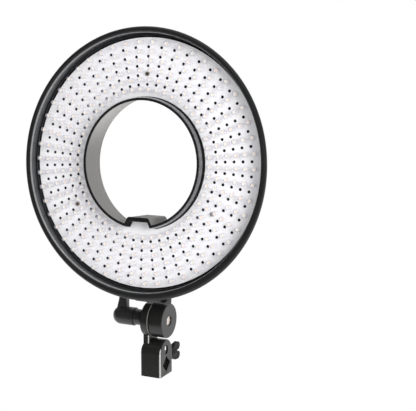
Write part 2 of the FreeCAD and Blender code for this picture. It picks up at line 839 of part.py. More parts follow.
def make_fasteners():
    board_screws = []
    board_nuts = []
    nut_end = spreader_back + dim.m3_nut_height
    for x, z in board_screw_places():
        head = rod(dim.m3_head_radius, -dim.m3_head_height, 0, x, z)
        shank = rod(dim.m3_radius, 0, nut_end + dim.m3_thread_end, x, z)
        board_screws.append(head.fuse(shank).removeSplitter())
        nut = hexagon(dim.m3_nut_width, spreader_back, nut_end, x, z)
        board_nuts.append(nut.cut(rod(dim.m3_radius + dim.thread_gap, spreader_back, nut_end, x, z)))
    group("board_screws", board_screws, head_place)
    group("board_nuts", board_nuts, head_place)

    posts = []
    shell_screws = []
    thread_start = shell_inside - dim.post_thread
    for number in range(int(dim.post_count.value)):
        x, z = on_circle(post_circle, number * 360 / dim.post_count.value)
        post = hexagon(dim.post_width, spreader_back, shell_inside, x, z)
        thread = rod(dim.m3_radius + dim.thread_gap, thread_start - dim.fit_gap, shell_inside, x, z)
        posts.append(post.cut(thread))
        head = rod(dim.m3_head_radius, dim.shell_depth, dim.shell_depth + dim.m3_head_height, x, z)
        screw = rod(dim.m3_radius, thread_start, dim.shell_depth, x, z)
        shell_screws.append(head.fuse(screw).removeSplitter())
    group("spacer_posts", posts, head_place)
    group("shell_screws", shell_screws, head_place)


# Driver electronics behind the board

def make_driver():
    body = new_body("driver_board")
    half = dim.driver_width / 2
    low = -flat_middle - dim.driver_height / 2
    high = -flat_middle + dim.driver_height / 2
    add(body, "XZ_Plane", dim.driver_depth, driver_back,
        lambda sketch: draw_outline(sketch, rectangle(-half, half, low, high)))

    def screw_holes(sketch):
        for x, z in driver_holes():
            draw_circle(sketch, x, z, dim.m3_radius + dim.thread_gap)

    cut(body, "XZ_Plane", dim.driver_depth - dim.overrun, driver_back + dim.overrun, screw_holes)
    finish(body, head_place)

    centre = -flat_middle
    front = dim.driver_depth
    first = dim.capacitor_inset - half
    top = front - dim.capacitor_height
    capacitors = [rod(dim.capacitor_radius, top, front, x, centre) for x in (first, first + dim.capacitor_pitch)]
    group("driver_capacitors", capacitors, head_place)
    coil_front = front - dim.inductor_height
    coil = rod(dim.inductor_radius, coil_front, front, dim.inductor_shift, centre)
    coil = coil.cut(rod(dim.inductor_hole_radius, coil_front, front, dim.inductor_shift, centre))
    group("driver_inductor", [coil], head_place)
    left = half - dim.heatsink_inset
    bottom = centre - dim.heatsink_length / 2
    fin_front = front - dim.heatsink_height
    corner = FreeCAD.Vector(float(left), float(fin_front), float(bottom))
    size = [float(length) for length in (dim.heatsink_width, dim.heatsink_height, dim.heatsink_length)]
    heatsink = Part.makeBox(*size, corner)
    gaps = int(dim.heatsink_gaps.value)
    gap = (dim.heatsink_width - (gaps + 1) * dim.heatsink_fin) / gaps
    for number in range(gaps):
        slot_left = left + dim.heatsink_fin + number * (dim.heatsink_fin + gap)
        corner = FreeCAD.Vector(float(slot_left), float(fin_front), float(bottom))
        depth = dim.heatsink_height - dim.heatsink_base
        heatsink = heatsink.cut(Part.makeBox(float(gap), float(depth), float(dim.heatsink_length), corner))
    group("driver_heatsink", [heatsink], head_place)
    screws = []
    for x, z in driver_holes():
        head = rod(dim.m3_head_radius, front - dim.m3_head_height, front, x, z)
        screws.append(head.fuse(rod(dim.m3_radius, front, driver_back, x, z)).removeSplitter())
    group("driver_screws", screws, head_place)


# Controls on the back: dimmer, rocker switch and power inlet

def make_dimmer():
    x, z = on_circle(control_circle, dim.dimmer_angle)
    front = shell_inside - dim.dimmer_body_length
    bush_end = shell_inside + dim.dimmer_bush_length
    pot = rod(dim.dimmer_body_radius, front, shell_inside, x, z)
    pot = pot.fuse(rod(dim.dimmer_bush_radius, shell_inside, bush_end, x, z)).removeSplitter()
    bore = dim.dimmer_shaft_radius + dim.running_gap
    floor = front + dim.dimmer_floor
    group("dimmer_pot", [pot.cut(rod(bore, floor, bush_end, x, z))], head_place)
    knob_start = bush_end + dim.dimmer_knob_gap
    knob_end = knob_start + dim.dimmer_knob_height
    shaft_end = knob_end - dim.dimmer_floor
    group("dimmer_shaft", [rod(dim.dimmer_shaft_radius, floor + dim.fit_gap, shaft_end, x, z)], head_place)

    body = new_body("dimmer_knob")
    radius = dim.dimmer_knob_radius
    grip = radius - dim.dimmer_step * 1.5
    draft = dim.dimmer_draft
    skirt_end = knob_start + dim.dimmer_skirt
    turn(body, "YZ_Plane", "H_Axis", [
        (knob_start, dim.dimmer_shaft_radius + dim.thread_gap),
        (knob_start, radius),
        (skirt_end, radius),
        (skirt_end + dim.dimmer_step, grip),
        (knob_end - dim.dimmer_step, grip - draft, radius / 3),
        (knob_end, grip - draft - 2 * dim.dimmer_step),
        (knob_end, 0),
        (shaft_end + dim.fit_gap, 0),
        (shaft_end + dim.fit_gap, dim.dimmer_shaft_radius + dim.thread_gap),
    ])
    mark = dim.dimmer_mark_width / 2
    cut(body, "XZ_Plane", knob_end - dim.dimmer_mark_depth, knob_end + dim.overrun,
        lambda sketch: draw_outline(sketch, rectangle(-mark, mark, radius * dim.dimmer_mark_start, radius)))
    body.Placement = FreeCAD.Placement(FreeCAD.Vector(x, 0, z), FreeCAD.Rotation())
    finish(body, head_place)


def make_switch():
    x, z = on_circle(control_circle, dim.switch_angle)
    x = as_size(x)
    z = as_size(z)
    half_width = dim.switch_width / 2
    half_height = dim.switch_height / 2
    bezel_back = dim.shell_depth + dim.switch_bezel_thickness
    body = new_body("power_switch")
    add(body, "XZ_Plane", dim.shell_depth - dim.switch_depth, dim.shell_depth,
        lambda sketch: draw_outline(sketch, rectangle(x - half_width, x + half_width,
                                                      z - half_height, z + half_height)))
    rim = dim.switch_bezel
    add(body, "XZ_Plane", dim.shell_depth, bezel_back,
        lambda sketch: draw_outline(sketch, rectangle(x - half_width - rim, x + half_width + rim,
                                                      z - half_height - rim, z + half_height + rim)))
    gap = dim.rocker_gap
    cavity_half = dim.rocker_radius + gap
    rocker_half = dim.rocker_width / 2
    pivot = dim.shell_depth
    cut(body, "XZ_Plane", pivot - dim.rocker_radius - gap, bezel_back + dim.overrun,
        lambda sketch: draw_outline(sketch, rectangle(x - rocker_half - gap, x + rocker_half + gap,
                                                      z - cavity_half, z + cavity_half)))
    pin_end = rocker_half + dim.rocker_pin_length
    socket_end = pin_end + dim.fit_gap
    cut(body, "YZ_Plane", x - socket_end, x + socket_end,
        lambda sketch: draw_circle(sketch, pivot, z, dim.rocker_pin_radius + dim.running_gap))
    finish(body, head_place)

    rocker = new_body("power_rocker")
    reach = dim.rocker_radius
    top = dim.rocker_crown + dim.switch_bezel_thickness
    wing = math.sqrt(reach.value ** 2 - top.value ** 2)
    lean_up = Size(wing, f"sqrt({reach.text} ^ 2 - {top.text} ^ 2)")
    add(rocker, "YZ_Plane", -rocker_half, rocker_half, lambda sketch: draw_outline(sketch, [
        (top, lean_up),
        (top - dim.rocker_dip, 0),
        (top, -lean_up, reach),
        (-reach, 0, reach),
    ]))
    add(rocker, "YZ_Plane", -pin_end, pin_end, lambda sketch: draw_circle(sketch, 0, 0, dim.rocker_pin_radius))
    rocker.Placement = FreeCAD.Placement(
        FreeCAD.Vector(x.value, pivot.value, z.value),
        FreeCAD.Rotation(FreeCAD.Vector(1, 0, 0), -dim.rocker_angle.value))
    finish(rocker, head_place)


def make_inlet():
    x, z = on_circle(control_circle, dim.inlet_angle)
    back = dim.shell_depth + dim.inlet_flange_thickness
    front = driver_back + dim.inlet_board_gap
    barrel = rod(dim.inlet_radius, front, dim.shell_depth, x, z)
    barrel = barrel.fuse(rod(dim.inlet_flange_radius, dim.shell_depth, back, x, z)).removeSplitter()
    floor = back - dim.inlet_bore_depth
    barrel = barrel.cut(rod(dim.inlet_bore_radius, floor, back, x, z))
    pin = rod(dim.inlet_pin_radius, floor - dim.overrun, back - dim.inlet_pin_setback, x, z)
    group("power_inlet", [barrel.fuse(pin).removeSplitter()], head_place)


# Plate on the back of the shell and the upper half of the tilt joint

def make_plate():
    body = new_body("bracket_plate")
    half = dim.plate_width / 2
    low = -plate_bottom
    high = -plate_top
    corner = dim.plate_corner
    add(body, "XZ_Plane", dim.shell_depth, plate_back, lambda sketch: draw_outline(sketch, [
        (half, low),
        (half, high - corner, -corner),
        (half - corner, high),
        (-half + corner, high, -corner),
        (-half, high - corner),
        (-half, low),
    ]))

    def holes(sketch):
        for x, z in plate_screws():
            draw_circle(sketch, x, z, dim.m5_radius + dim.fit_gap)
        for side in (-1, 1):
            draw_circle(sketch, dim.flange_screw_spread / 2 * side, flange_screw_z, dim.m5_radius + dim.fit_gap)

    cut(body, "XZ_Plane", dim.shell_depth - dim.overrun, plate_back + dim.overrun, holes)
    finish(body, head_place)

    backing = new_body("backing_plate")
    back_front = shell_inside - dim.backing_thickness
    screw_half = dim.plate_screw_spread / 2 + dim.backing_margin
    first_screw = -plate_top - dim.plate_screw_margin
    backing_low = first_screw - dim.plate_screw_pitch - dim.backing_margin
    backing_high = first_screw + dim.backing_margin
    add(backing, "XZ_Plane", back_front, shell_inside,
        lambda sketch: draw_outline(sketch, rectangle(-screw_half, screw_half, backing_low, backing_high)))

    def threads(sketch):
        for x, z in plate_screws():
            draw_circle(sketch, x, z, dim.m5_radius + dim.thread_gap)

    cut(backing, "XZ_Plane", back_front - dim.overrun, shell_inside + dim.overrun, threads)
    finish(backing, head_place)

    screws = []
    for x, z in plate_screws():
        head = rod(dim.m5_head_radius, plate_back, plate_back + dim.m5_head_height, x, z)
        shank = rod(dim.m5_radius, back_front - dim.m3_thread_end, plate_back, x, z)
        screws.append(head.fuse(shank).removeSplitter())
    group("plate_screws", screws, head_place)


def make_tilt_bracket():
    body = new_body("tilt_bracket")
    flange_back = plate_back + dim.flange_thickness
    tongue_back = plate_back + dim.tongue_thickness
    add(body, "YZ_Plane", drum_left, dim.drum_right,
        lambda sketch: draw_circle(sketch, axis_depth, axis_z, dim.joint_radius))
    doc.recompute()
    rims = edges_where(body.Shape, lambda edge, middle: edge.Closed)
    dress(body, "Chamfer", rims, dim.joint_edge)
    half = dim.flange_width / 2
    low = -flange_bottom
    add(body, "YZ_Plane", drum_left, dim.tongue_right,
        lambda sketch: draw_outline(sketch, rectangle(plate_back, tongue_back, axis_z, low + dim.flange_height)))
    add(body, "XZ_Plane", plate_back, flange_back,
        lambda sketch: draw_outline(sketch, rectangle(-half, half, low, low + dim.flange_height)))
    rib_middle = (drum_left + dim.tongue_right) / 2
    add(body, "YZ_Plane", rib_middle - dim.rib_width / 2, rib_middle + dim.rib_width / 2,
        lambda sketch: draw_outline(sketch, [
            (plate_back + dim.overrun, low + dim.rib_height),
            (plate_back + dim.overrun, axis_z),
            (tongue_back + dim.rib_depth, axis_z),
            (tongue_back + dim.rib_depth, axis_z + dim.rib_end),
            (tongue_back, low + dim.rib_height),
        ]))
    recess_floor = dim.drum_right - dim.bolt_recess_depth
    corner = (dim.bolt_head_width + 2 * dim.fit_gap) / math.sqrt(3)

    def hex_outline(sketch):
        points = []
        for number in range(6):
            angle = math.radians(30 + 60 * number)
            points.append((axis_depth + corner * math.cos(angle), axis_z + corner * math.sin(angle)))
        draw_outline(sketch, points)

    cut(body, "YZ_Plane", recess_floor, dim.drum_right + dim.overrun, hex_outline)
    cut(body, "YZ_Plane", drum_left - dim.overrun, recess_floor + dim.overrun,
        lambda sketch: draw_circle(sketch, axis_depth, axis_z, dim.bolt_radius + dim.running_gap))

    def flange_holes(sketch):
        for side in (-1, 1):
            draw_circle(sketch, dim.flange_screw_spread / 2 * side, flange_screw_z,
                        dim.m5_radius + dim.thread_gap)

    cut(body, "XZ_Plane", plate_back - dim.overrun, tongue_back + dim.overrun, flange_holes)
    finish(body, head_place)

    screws = []
    for side in (-1, 1):
        x = float(dim.flange_screw_spread / 2 * side)
        z = flange_screw_z
        head = rod(dim.m5_head_radius, dim.shell_depth - dim.m5_head_height, dim.shell_depth, x, z)
        shank = rod(dim.m5_radius, dim.shell_depth, flange_back, x, z)
        screws.append(head.fuse(shank).removeSplitter())
    group("flange_screws", screws, head_place)


# Tilt bolt and washer, on the joint's axis

def make_joint():
    axis = FreeCAD.Vector(1, 0, 0)
    head_left = dim.drum_right - dim.bolt_recess_depth
    corner = dim.bolt_head_width.value / math.sqrt(3)
    points = []
    for number in range(7):
        angle = math.radians(30 + 60 * number)
        points.append(FreeCAD.Vector(head_left.value, corner * math.cos(angle), corner * math.sin(angle)))
    head = Part.Face(Part.makePolygon(points)).extrude(axis * dim.bolt_head_height.value)
    turned = FreeCAD.Placement(FreeCAD.Vector(), FreeCAD.Rotation(axis, -dim.rest_tilt.value))
    head.Placement = turned
    bolt_end = lever_hub_right - dim.bolt_grip
    start = FreeCAD.Vector(bolt_end.value, 0, 0)
    shank = Part.makeCylinder(dim.bolt_radius.value, (head_left - bolt_end).value, start, axis)
    group("tilt_bolt", [head.fuse(shank).removeSplitter()], joint_place)

    body = new_body("friction_washer")
    bore = dim.bolt_radius + dim.fit_gap
    turn(body, "XZ_Plane", "H_Axis", [
        (dim.disc_right, bore),
        (dim.disc_right, dim.washer_radius),
        (dim.disc_right + dim.washer_thickness, dim.washer_radius),
        (dim.disc_right + dim.washer_thickness, bore),
    ])
    finish(body, joint_place)


# Stand block: a domed casting with the stud socket, a diamond side socket, a window and the lower joint disc

def make_stand_block():
    body = new_body("stand_block")
    half_width = dim.block_width / 2
    half_depth = dim.block_depth / 2
    dome_foot = dim.block_height - half_depth
    add(body, "YZ_Plane", -half_width, half_width, lambda sketch: draw_outline(sketch, [
        (-half_depth, 0),
        (half_depth, 0),
        (half_depth, dome_foot, -half_depth),
        (0, dim.block_height, -half_depth),
        (-half_depth, dome_foot),
    ]))
    doc.recompute()
    uprights = edges_where(body.Shape, lambda edge, middle: edge.BoundBox.XLength < 0.1
                           and edge.BoundBox.YLength < 0.1)
    dress(body, "Fillet", uprights, dim.block_corner)
    add(body, "YZ_Plane", dim.disc_left, dim.disc_left + dim.neck_width,
        lambda sketch: draw_outline(sketch, rectangle(-dim.neck_depth / 2, dim.neck_depth / 2,
                                                      dome_foot - dim.neck_root, axis_height)))
    add(body, "YZ_Plane", dim.disc_left, dim.disc_right,
        lambda sketch: draw_circle(sketch, 0, axis_height, dim.joint_radius))
    doc.recompute()
    disc_rims = edges_where(body.Shape, lambda edge, middle: edge.Closed or (
        edge.BoundBox.XLength < 0.1 and edge.BoundBox.ZLength > dim.joint_radius.value
        and middle.z > axis_height.value))
    dress(body, "Chamfer", disc_rims, dim.joint_edge)
    boss_end = half_depth + dim.boss_length
    screw_height = dim.cross_hole_height
    add(body, "XZ_Plane", half_depth - dim.neck_root, boss_end,
        lambda sketch: draw_circle(sketch, 0, screw_height, dim.boss_radius))
    shoulder_left = -half_width - dim.overrun
    shoulder = dim.block_height - dim.shoulder_drop
    cut(body, "XZ_Plane", -half_depth - dim.overrun, half_depth + dim.overrun, lambda sketch: draw_outline(sketch, [
        (shoulder_left, shoulder - dim.shoulder_rise / 2),
        (-half_width, shoulder),
        (dim.disc_left, shoulder + dim.shoulder_rise),
        (dim.disc_left, dim.block_height + dim.overrun),
        (shoulder_left, dim.block_height + dim.overrun),
    ]))
    cut(body, "XY_Plane", -dim.overrun, dim.stud_depth, lambda sketch: draw_circle(sketch, 0, 0, dim.stud_radius))
    diagonal = dim.cross_hole_half_diagonal
    cut(body, "YZ_Plane", dim.stud_radius + dim.cross_hole_wall, half_width + dim.overrun, lambda sketch: draw_outline(sketch, [
        (0, screw_height - diagonal),
        (diagonal, screw_height),
        (0, screw_height + diagonal),
        (-diagonal, screw_height),
    ]))
    window_centre = dim.block_height - dim.window_below_top
    window_low = window_centre - dim.window_height / 2
    window_high = window_centre + dim.window_height / 2
    half_window = dim.window_width / 2
    round_foot = window_low + half_window
    round_head = window_high - half_window
    pocket_low = window_centre - dim.pocket_height / 2
    pocket_right = half_width - dim.pocket_cheek
    cut(body, "YZ_Plane", pocket_right - dim.pocket_width, pocket_right,
        lambda sketch: draw_outline(sketch, rectangle(-dim.pocket_front, half_depth + dim.overrun,
                                                      pocket_low, pocket_low + dim.pocket_height)))
    cut(body, "YZ_Plane", pocket_right - dim.overrun, half_width + dim.overrun, lambda sketch: draw_outline(sketch, [
        (-half_window, round_foot, -half_window),
        (0, window_low, -half_window),
        (half_window, round_foot),
        (half_window, round_head, -half_window),
        (0, window_high, -half_window),
        (-half_window, round_head),
    ]))
    cut(body, "XZ_Plane", 0, boss_end + dim.overrun,
        lambda sketch: draw_circle(sketch, 0, screw_height, dim.insert_radius + dim.thread_gap))
    cut(body, "YZ_Plane", dim.disc_left - dim.overrun, dim.disc_right + dim.overrun,
        lambda sketch: draw_circle(sketch, 0, axis_height, dim.bolt_radius + dim.running_gap))
    finish(body)


# Clamp screw of the stud socket: insert, pad, screw and winged knob

def make_wing_screw():
    height = dim.cross_hole_height
    boss_end = dim.block_depth / 2 + dim.boss_length
    insert_start = boss_end - dim.insert_length
    insert = rod(dim.insert_radius, insert_start, boss_end, 0, height)
    bore = dim.wing_shank_radius + dim.running_gap
    group("thread_insert", [insert.cut(rod(bore, insert_start, boss_end, 0, height))])

    pad_front = dim.stud_radius + dim.pad_setback
    pad_back = pad_front + dim.pad_thickness
    tip_bore = dim.wing_tip_radius + dim.running_gap
    pad = rod(dim.pad_radius, pad_front, pad_back, 0, height)
    tip_floor = pad_back - dim.wing_tip_length - dim.fit_gap
    group("clamp_pad", [pad.cut(rod(tip_bore, tip_floor, pad_back, 0, height))])

    shank_start = pad_back + dim.fit_gap / 2
    tip_start = shank_start - dim.wing_tip_length
    hub_start = boss_end + dim.wing_hub_gap
    hub_end = hub_start + dim.wing_hub_length
    shank_end = hub_start + dim.wing_shank_grip
    shank = rod(dim.wing_shank_radius, shank_start, shank_end, 0, height)
    tip = rod(dim.wing_tip_radius, tip_start, shank_start, 0, height)
    group("wing_screw", [shank.fuse(tip).removeSplitter()])

    body = new_body("wing_knob")
    hub = dim.wing_hub_radius
    turn(body, "YZ_Plane", "H_Axis", [
        (hub_start, 0),
        (hub_start, hub - dim.wing_hub_bevel / 2),
        (hub_start + dim.wing_hub_bevel / 2, hub),
        (hub_end - dim.wing_hub_bevel, hub),
        (hub_end, hub - dim.wing_hub_bevel),
        (hub_end, 0),
    ])
    lobe = dim.wing_lobe_radius
    reach = dim.wing_lobe_height
    half = dim.wing_thickness / 2
    foot = hub_start + dim.wing_foot_share * dim.wing_hub_length
    waist = dim.wing_waist_share * hub
    wing_centre = hub_start + dim.wing_lobe_start
    shoulder = wing_centre - dim.wing_shoulder_share * lobe
    shoulder_height = reach + lobe - dim.wing_hub_bevel / 2
    lobe_back = wing_centre + lobe
    add(body, "YZ_Plane", -half, half, lambda sketch: draw_outline(sketch, [
        (foot, -waist),
        (foot, waist),
        (shoulder, shoulder_height),
        (wing_centre, reach + lobe, lobe),
        (lobe_back, reach, lobe),
        (wing_centre, reach - lobe),
        (hub_end + dim.wing_hub_bevel, 0),
        (wing_centre, lobe - reach, lobe),
        (lobe_back, -reach, lobe),
        (wing_centre, -reach - lobe),
        (shoulder, -shoulder_height),
    ]))
    cut(body, "XZ_Plane", hub_start - dim.overrun, shank_end + dim.fit_gap / 2,
        lambda sketch: draw_circle(sketch, 0, 0, dim.wing_shank_radius + dim.thread_gap))
    body.Placement = FreeCAD.Placement(FreeCAD.Vector(0, 0, height.value), FreeCAD.Rotation())
    finish(body)


# Clamp lever on the joint bolt

def make_lever():
    body = new_body("lever_handle")
    radius = dim.lever_hub_radius
    right = lever_hub_right
    left = right - dim.lever_hub_length
    nut_end = lever_nut_left - dim.fit_gap / 2
    turn(body, "XZ_Plane", "H_Axis", [
        (right, dim.lever_nut_radius + dim.thread_gap),
        (right, radius - dim.lever_hub_bevel),
        (right - dim.lever_hub_bevel, radius),
        (left, radius, -radius),
        (left - radius, 0),
        (nut_end, 0),
        (nut_end, dim.lever_nut_radius + dim.thread_gap),
    ])
    arm_right = right - dim.lever_arm_inset
    tip = dim.lever_arm_tip_radius
    tip_centre = arm_right - dim.lever_arm_lean - tip
    tip_foot = dim.lever_arm_length - tip
    half = dim.lever_arm_thickness / 2
    arm_root = dim.lever_arm_root
    add(body, "XZ_Plane", -half, half, lambda sketch: draw_outline(sketch, [
        (arm_right, arm_root),
        (arm_right, dim.lever_arm_mid_height),
        (tip_centre + tip, tip_foot, -tip),
        (tip_centre, dim.lever_arm_length, -tip),
        (tip_centre - tip, tip_foot),
        (arm_right - dim.lever_arm_mid_width, dim.lever_arm_mid_height),
        (arm_right - dim.lever_arm_foot_width, arm_root),
    ]))
    finish(body, joint_place)

    axis = FreeCAD.Vector(1, 0, 0)
    start = FreeCAD.Vector(lever_nut_left.value, 0, 0)
    nut = Part.makeCylinder(dim.lever_nut_radius.value, dim.lever_nut_length.value, start, axis)
    bore_radius = dim.bolt_radius + dim.running_gap
    bore = Part.makeCylinder(bore_radius.value, dim.lever_nut_length.value, start, axis)
    group("lever_nut", [nut.cut(bore)], joint_place)

    collar = new_body("lever_collar")
    inner = dim.bolt_radius + dim.fit_gap
    collar_right = dim.disc_left - dim.fit_gap
    step = (right + collar_right) / 2 + dim.lever_collar_slope
    turn(collar, "XZ_Plane", "H_Axis", [
        (right, inner),
        (right, dim.lever_collar_radius),
        (step, dim.lever_collar_radius),
        (step + dim.lever_collar_slope, dim.lever_collar_step),
        (collar_right, dim.lever_collar_step),
        (collar_right, inner),
    ])
    finish(collar, joint_place)


def check_and_write():
    """Check every object and every sub-part, then write one file per sub-part."""
    doc.recompute()
    for item in doc.Objects:
        if "Invalid" in item.State or "Error" in item.State:
            raise RuntimeError(f"{item.Label} failed: {item.State}")
    os.makedirs("parts", exist_ok=True)
    for item in subparts:
        shape = item.Shape
        if shape.isNull() or not shape.isValid() or not shape.Solids:
            raise RuntimeError(f"{item.Label} has no valid solid")
    for item in subparts:
        item.Shape.exportStep(f"parts/{item.Label}.step")
        box = item.Shape.BoundBox
        print(f"{item.Label}: {len(item.Shape.Solids)} solids, {item.Shape.Volume:.0f} mm3, "
              f"X {box.XMin:.1f} to {box.XMax:.1f}, Y {box.YMin:.1f} to {box.YMax:.1f}, "
              f"Z {box.ZMin:.1f} to {box.ZMax:.1f}")


make_stand_block()
make_wing_screw()
make_lever()
make_joint()
make_front_rim()
make_rear_shell()
make_centre_tube()
make_skirt()
make_board()
make_leds()
make_fasteners()
make_driver()
make_dimmer()
make_switch()
make_inlet()
make_plate()
make_tilt_bracket()
check_and_write()
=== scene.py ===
import logging
import math
from dataclasses import dataclass, field
from enum import Enum
from typing import Callable, Sequence

import bmesh
import bpy
import numpy as np
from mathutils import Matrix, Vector


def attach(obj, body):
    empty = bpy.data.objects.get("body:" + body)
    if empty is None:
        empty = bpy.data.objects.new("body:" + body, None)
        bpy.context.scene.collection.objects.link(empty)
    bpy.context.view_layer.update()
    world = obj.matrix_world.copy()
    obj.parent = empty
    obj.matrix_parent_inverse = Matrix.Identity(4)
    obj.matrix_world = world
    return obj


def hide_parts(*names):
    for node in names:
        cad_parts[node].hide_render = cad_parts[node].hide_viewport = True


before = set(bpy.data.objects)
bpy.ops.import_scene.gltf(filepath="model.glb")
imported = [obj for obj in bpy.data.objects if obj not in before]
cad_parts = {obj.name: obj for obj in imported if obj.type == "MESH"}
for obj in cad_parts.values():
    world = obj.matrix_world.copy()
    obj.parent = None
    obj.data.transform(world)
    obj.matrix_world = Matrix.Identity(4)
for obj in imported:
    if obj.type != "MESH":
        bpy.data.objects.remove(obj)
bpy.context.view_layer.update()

MM = 0.001
MERGED = 0.002
FLAT = math.radians(0.6)
SHARP = math.radians(32)
WHITE = (1, 1, 1, 1)
Colour = tuple[float, float, float]
Point = tuple[float, float, float]
log = logging.getLogger("ring light")


# Shader maths


class Value:
    """A number that varies over a surface: one shader socket with Python's own arithmetic."""

    def __init__(self, recipe: "Recipe", socket: bpy.types.NodeSocket) -> None:
        """Keep the socket and the recipe that it belongs to."""
        self.recipe = recipe
        self.socket = socket

    def _join(self, operation: str, *inputs: "Value | float") -> "Value":
        """Put one Math node on the inputs."""
        return self.recipe.value("ShaderNodeMath", {"operation": operation}, dict(enumerate(inputs)))

    def __add__(self, other: "Value | float") -> "Value":
        """Sum."""
        return self._join("ADD", self, other)

    __radd__ = __add__

    def __mul__(self, other: "Value | float") -> "Value":
        """Product."""
        return self._join("MULTIPLY", self, other)

    __rmul__ = __mul__

    def __sub__(self, other: "Value | float") -> "Value":
        """Difference."""
        return self._join("SUBTRACT", self, other)

    def __rsub__(self, other: "Value | float") -> "Value":
        """Difference from a plain number."""
        return self._join("SUBTRACT", other, self)

    def __pow__(self, other: float) -> "Value":
        """Power."""
        return self._join("POWER", self, other)

    def greatest(self, other: "Value | float") -> "Value":
        """The greater of two."""
        return self._join("MAXIMUM", self, other)

    def wave(self) -> "Value":
        """Cosine wave between 0 and 1 with one turn for each unit."""
        return 0.5 + 0.5 * self._join("COSINE", self * math.tau)

    def between(self, low: float, high: float) -> "Value":
        """Smooth step: 0 below low, 1 above high."""
        limits = {"Value": self, "From Min": low, "From Max": high}
        return self.recipe.value("ShaderNodeMapRange", {"interpolation_type": "SMOOTHSTEP"}, limits)


class Recipe:
    """The node tree of one material or of the world, filled through one method."""

    def __init__(self, owner: "bpy.types.Material | bpy.types.World") -> None:
        """Empty the owner's node tree and keep it.

        Args:
            owner: The material or world whose nodes are made.
        """
        owner.use_nodes = True
        self.tree = owner.node_tree
        self.tree.nodes.clear()

    def node(self, kind: str, settings: dict, values: dict) -> bpy.types.Node:
        """Add a node.

        Args:
            kind: The node's type.
            settings: Its properties, set before its sockets.
            values: What goes into its sockets, by name or number: a Value, a socket or a constant.

        Returns:
            The node.
        """
        node = self.tree.nodes.new(kind)
        for name, setting in settings.items():
            setattr(node, name, setting)
        for name, value in values.items():
            if isinstance(value, Value):
                value = value.socket
            if isinstance(value, bpy.types.NodeSocket):
                self.tree.links.new(value, node.inputs[name])
            else:
                node.inputs[name].default_value = value
        return node

    def value(self, kind: str, settings: dict, values: dict, output: "int | str" = 0) -> Value:
        """Add a node and give one of its outputs as a Value."""
        return Value(self, self.node(kind, settings, values).outputs[output])

    def parts(self, vector: bpy.types.NodeSocket) -> list[Value]:
        """Split a vector into X, Y and Z."""
        split = self.node("ShaderNodeSeparateXYZ", {}, {"Vector": vector})
        return [Value(self, part) for part in split.outputs]

    def place(self, centre: Point = (0, 0, 0), lean: float = 0.0,
              stretch: Point = (1, 1, 1)) -> bpy.types.NodeSocket:
        """Give the object's own coordinates, centred, turned and stretched.

        Args:
            centre: The point that becomes the origin, in metres.
            lean: The turn about the X axis, in radians.
            stretch: The scale along each axis.

        Returns:
            The vector socket.
        """
        point = self.node("ShaderNodeTexCoord", {}, {}).outputs["Object"]
        moved = self.node("ShaderNodeVectorMath", {"operation": "SUBTRACT"}, {0: point, 1: centre})
        mapping = {"Vector": moved.outputs[0], "Rotation": (lean, 0, 0), "Scale": stretch}
        return self.node("ShaderNodeMapping", {}, mapping).outputs[0]

    def noise(self, scale: float, detail: float, vector: "bpy.types.NodeSocket | None" = None) -> Value:
        """Give a noise whose scale is in features per metre.

        Args:
            scale: The scale.
            detail: How many finer layers it has.
            vector: Where it is read, if not at the object's own coordinates.

        Returns:
            The noise, between 0 and 1.
        """
        values = {"Vector": vector or self.place(), "Scale": scale, "Detail": detail, "Roughness": 0.55}
        return self.value("ShaderNodeTexNoise", {}, values)

    def cells(self, scale: float) -> Value:
        """Give the distance to the nearest of many scattered points."""
        return self.value("ShaderNodeTexVoronoi", {}, {"Vector": self.place(), "Scale": scale})

    def blend(self, factor: "Value | float", first: object, second: object) -> bpy.types.NodeSocket:
        """Mix two colours."""
        return self.node("ShaderNodeMix", {"data_type": "RGBA"}, {0: factor, 6: first, 7: second}).outputs[2]

    def bump(self, height: Value, depth: float) -> bpy.types.NodeSocket:
        """Turn a height between 0 and 1 into a normal.

        Args:
            height: The height.
            depth: What a height of 1 stands for, in metres.

        Returns:
            The normal's socket.
        """
        relief = {"Height": height, "Distance": depth, "Strength": 1.0}
        return self.node("ShaderNodeBump", {}, relief).outputs[0]

    def output(self, shader: bpy.types.NodeSocket, kind: str = "ShaderNodeOutputMaterial") -> None:
        """End the tree with its output node."""
        self.node(kind, {}, {"Surface": shader})


def shade(colour: Colour, gain: float = 1.0, lift: float = 0.0) -> tuple[float, ...]:
    """A colour times a gain plus a lift, at most white, with its alpha."""
    return (*(min(1.0, part * gain + lift) for part in colour), 1.0)


# Finishes


class Grain(Enum):
    """The fine texture of a surface."""

    POLISHED = "polished mould"
    SATIN = "satin mould"
    SPARKED = "spark-eroded mould"
    CAST = "painted casting"
    BRUSHED = "drawn or brushed metal"
    FIBRE = "pressed fibre"


@dataclass(frozen=True)
class BaseFinish:
    """What every finish has: a name, the record's slot, and one way to make its material."""

    name: str
    slot: str

    def sockets(self, recipe: Recipe) -> dict:
        """Give what feeds each socket of the finish's shader."""
        raise NotImplementedError(self.name)

    def make(self) -> bpy.types.Material:
        """Make the material.

        Returns:
            The material.
        """
        material = bpy.data.materials.new(self.name)
        recipe = Recipe(material)
        recipe.output(recipe.node("ShaderNodeBsdfPrincipled", {}, self.sockets(recipe)).outputs[0])
        return material


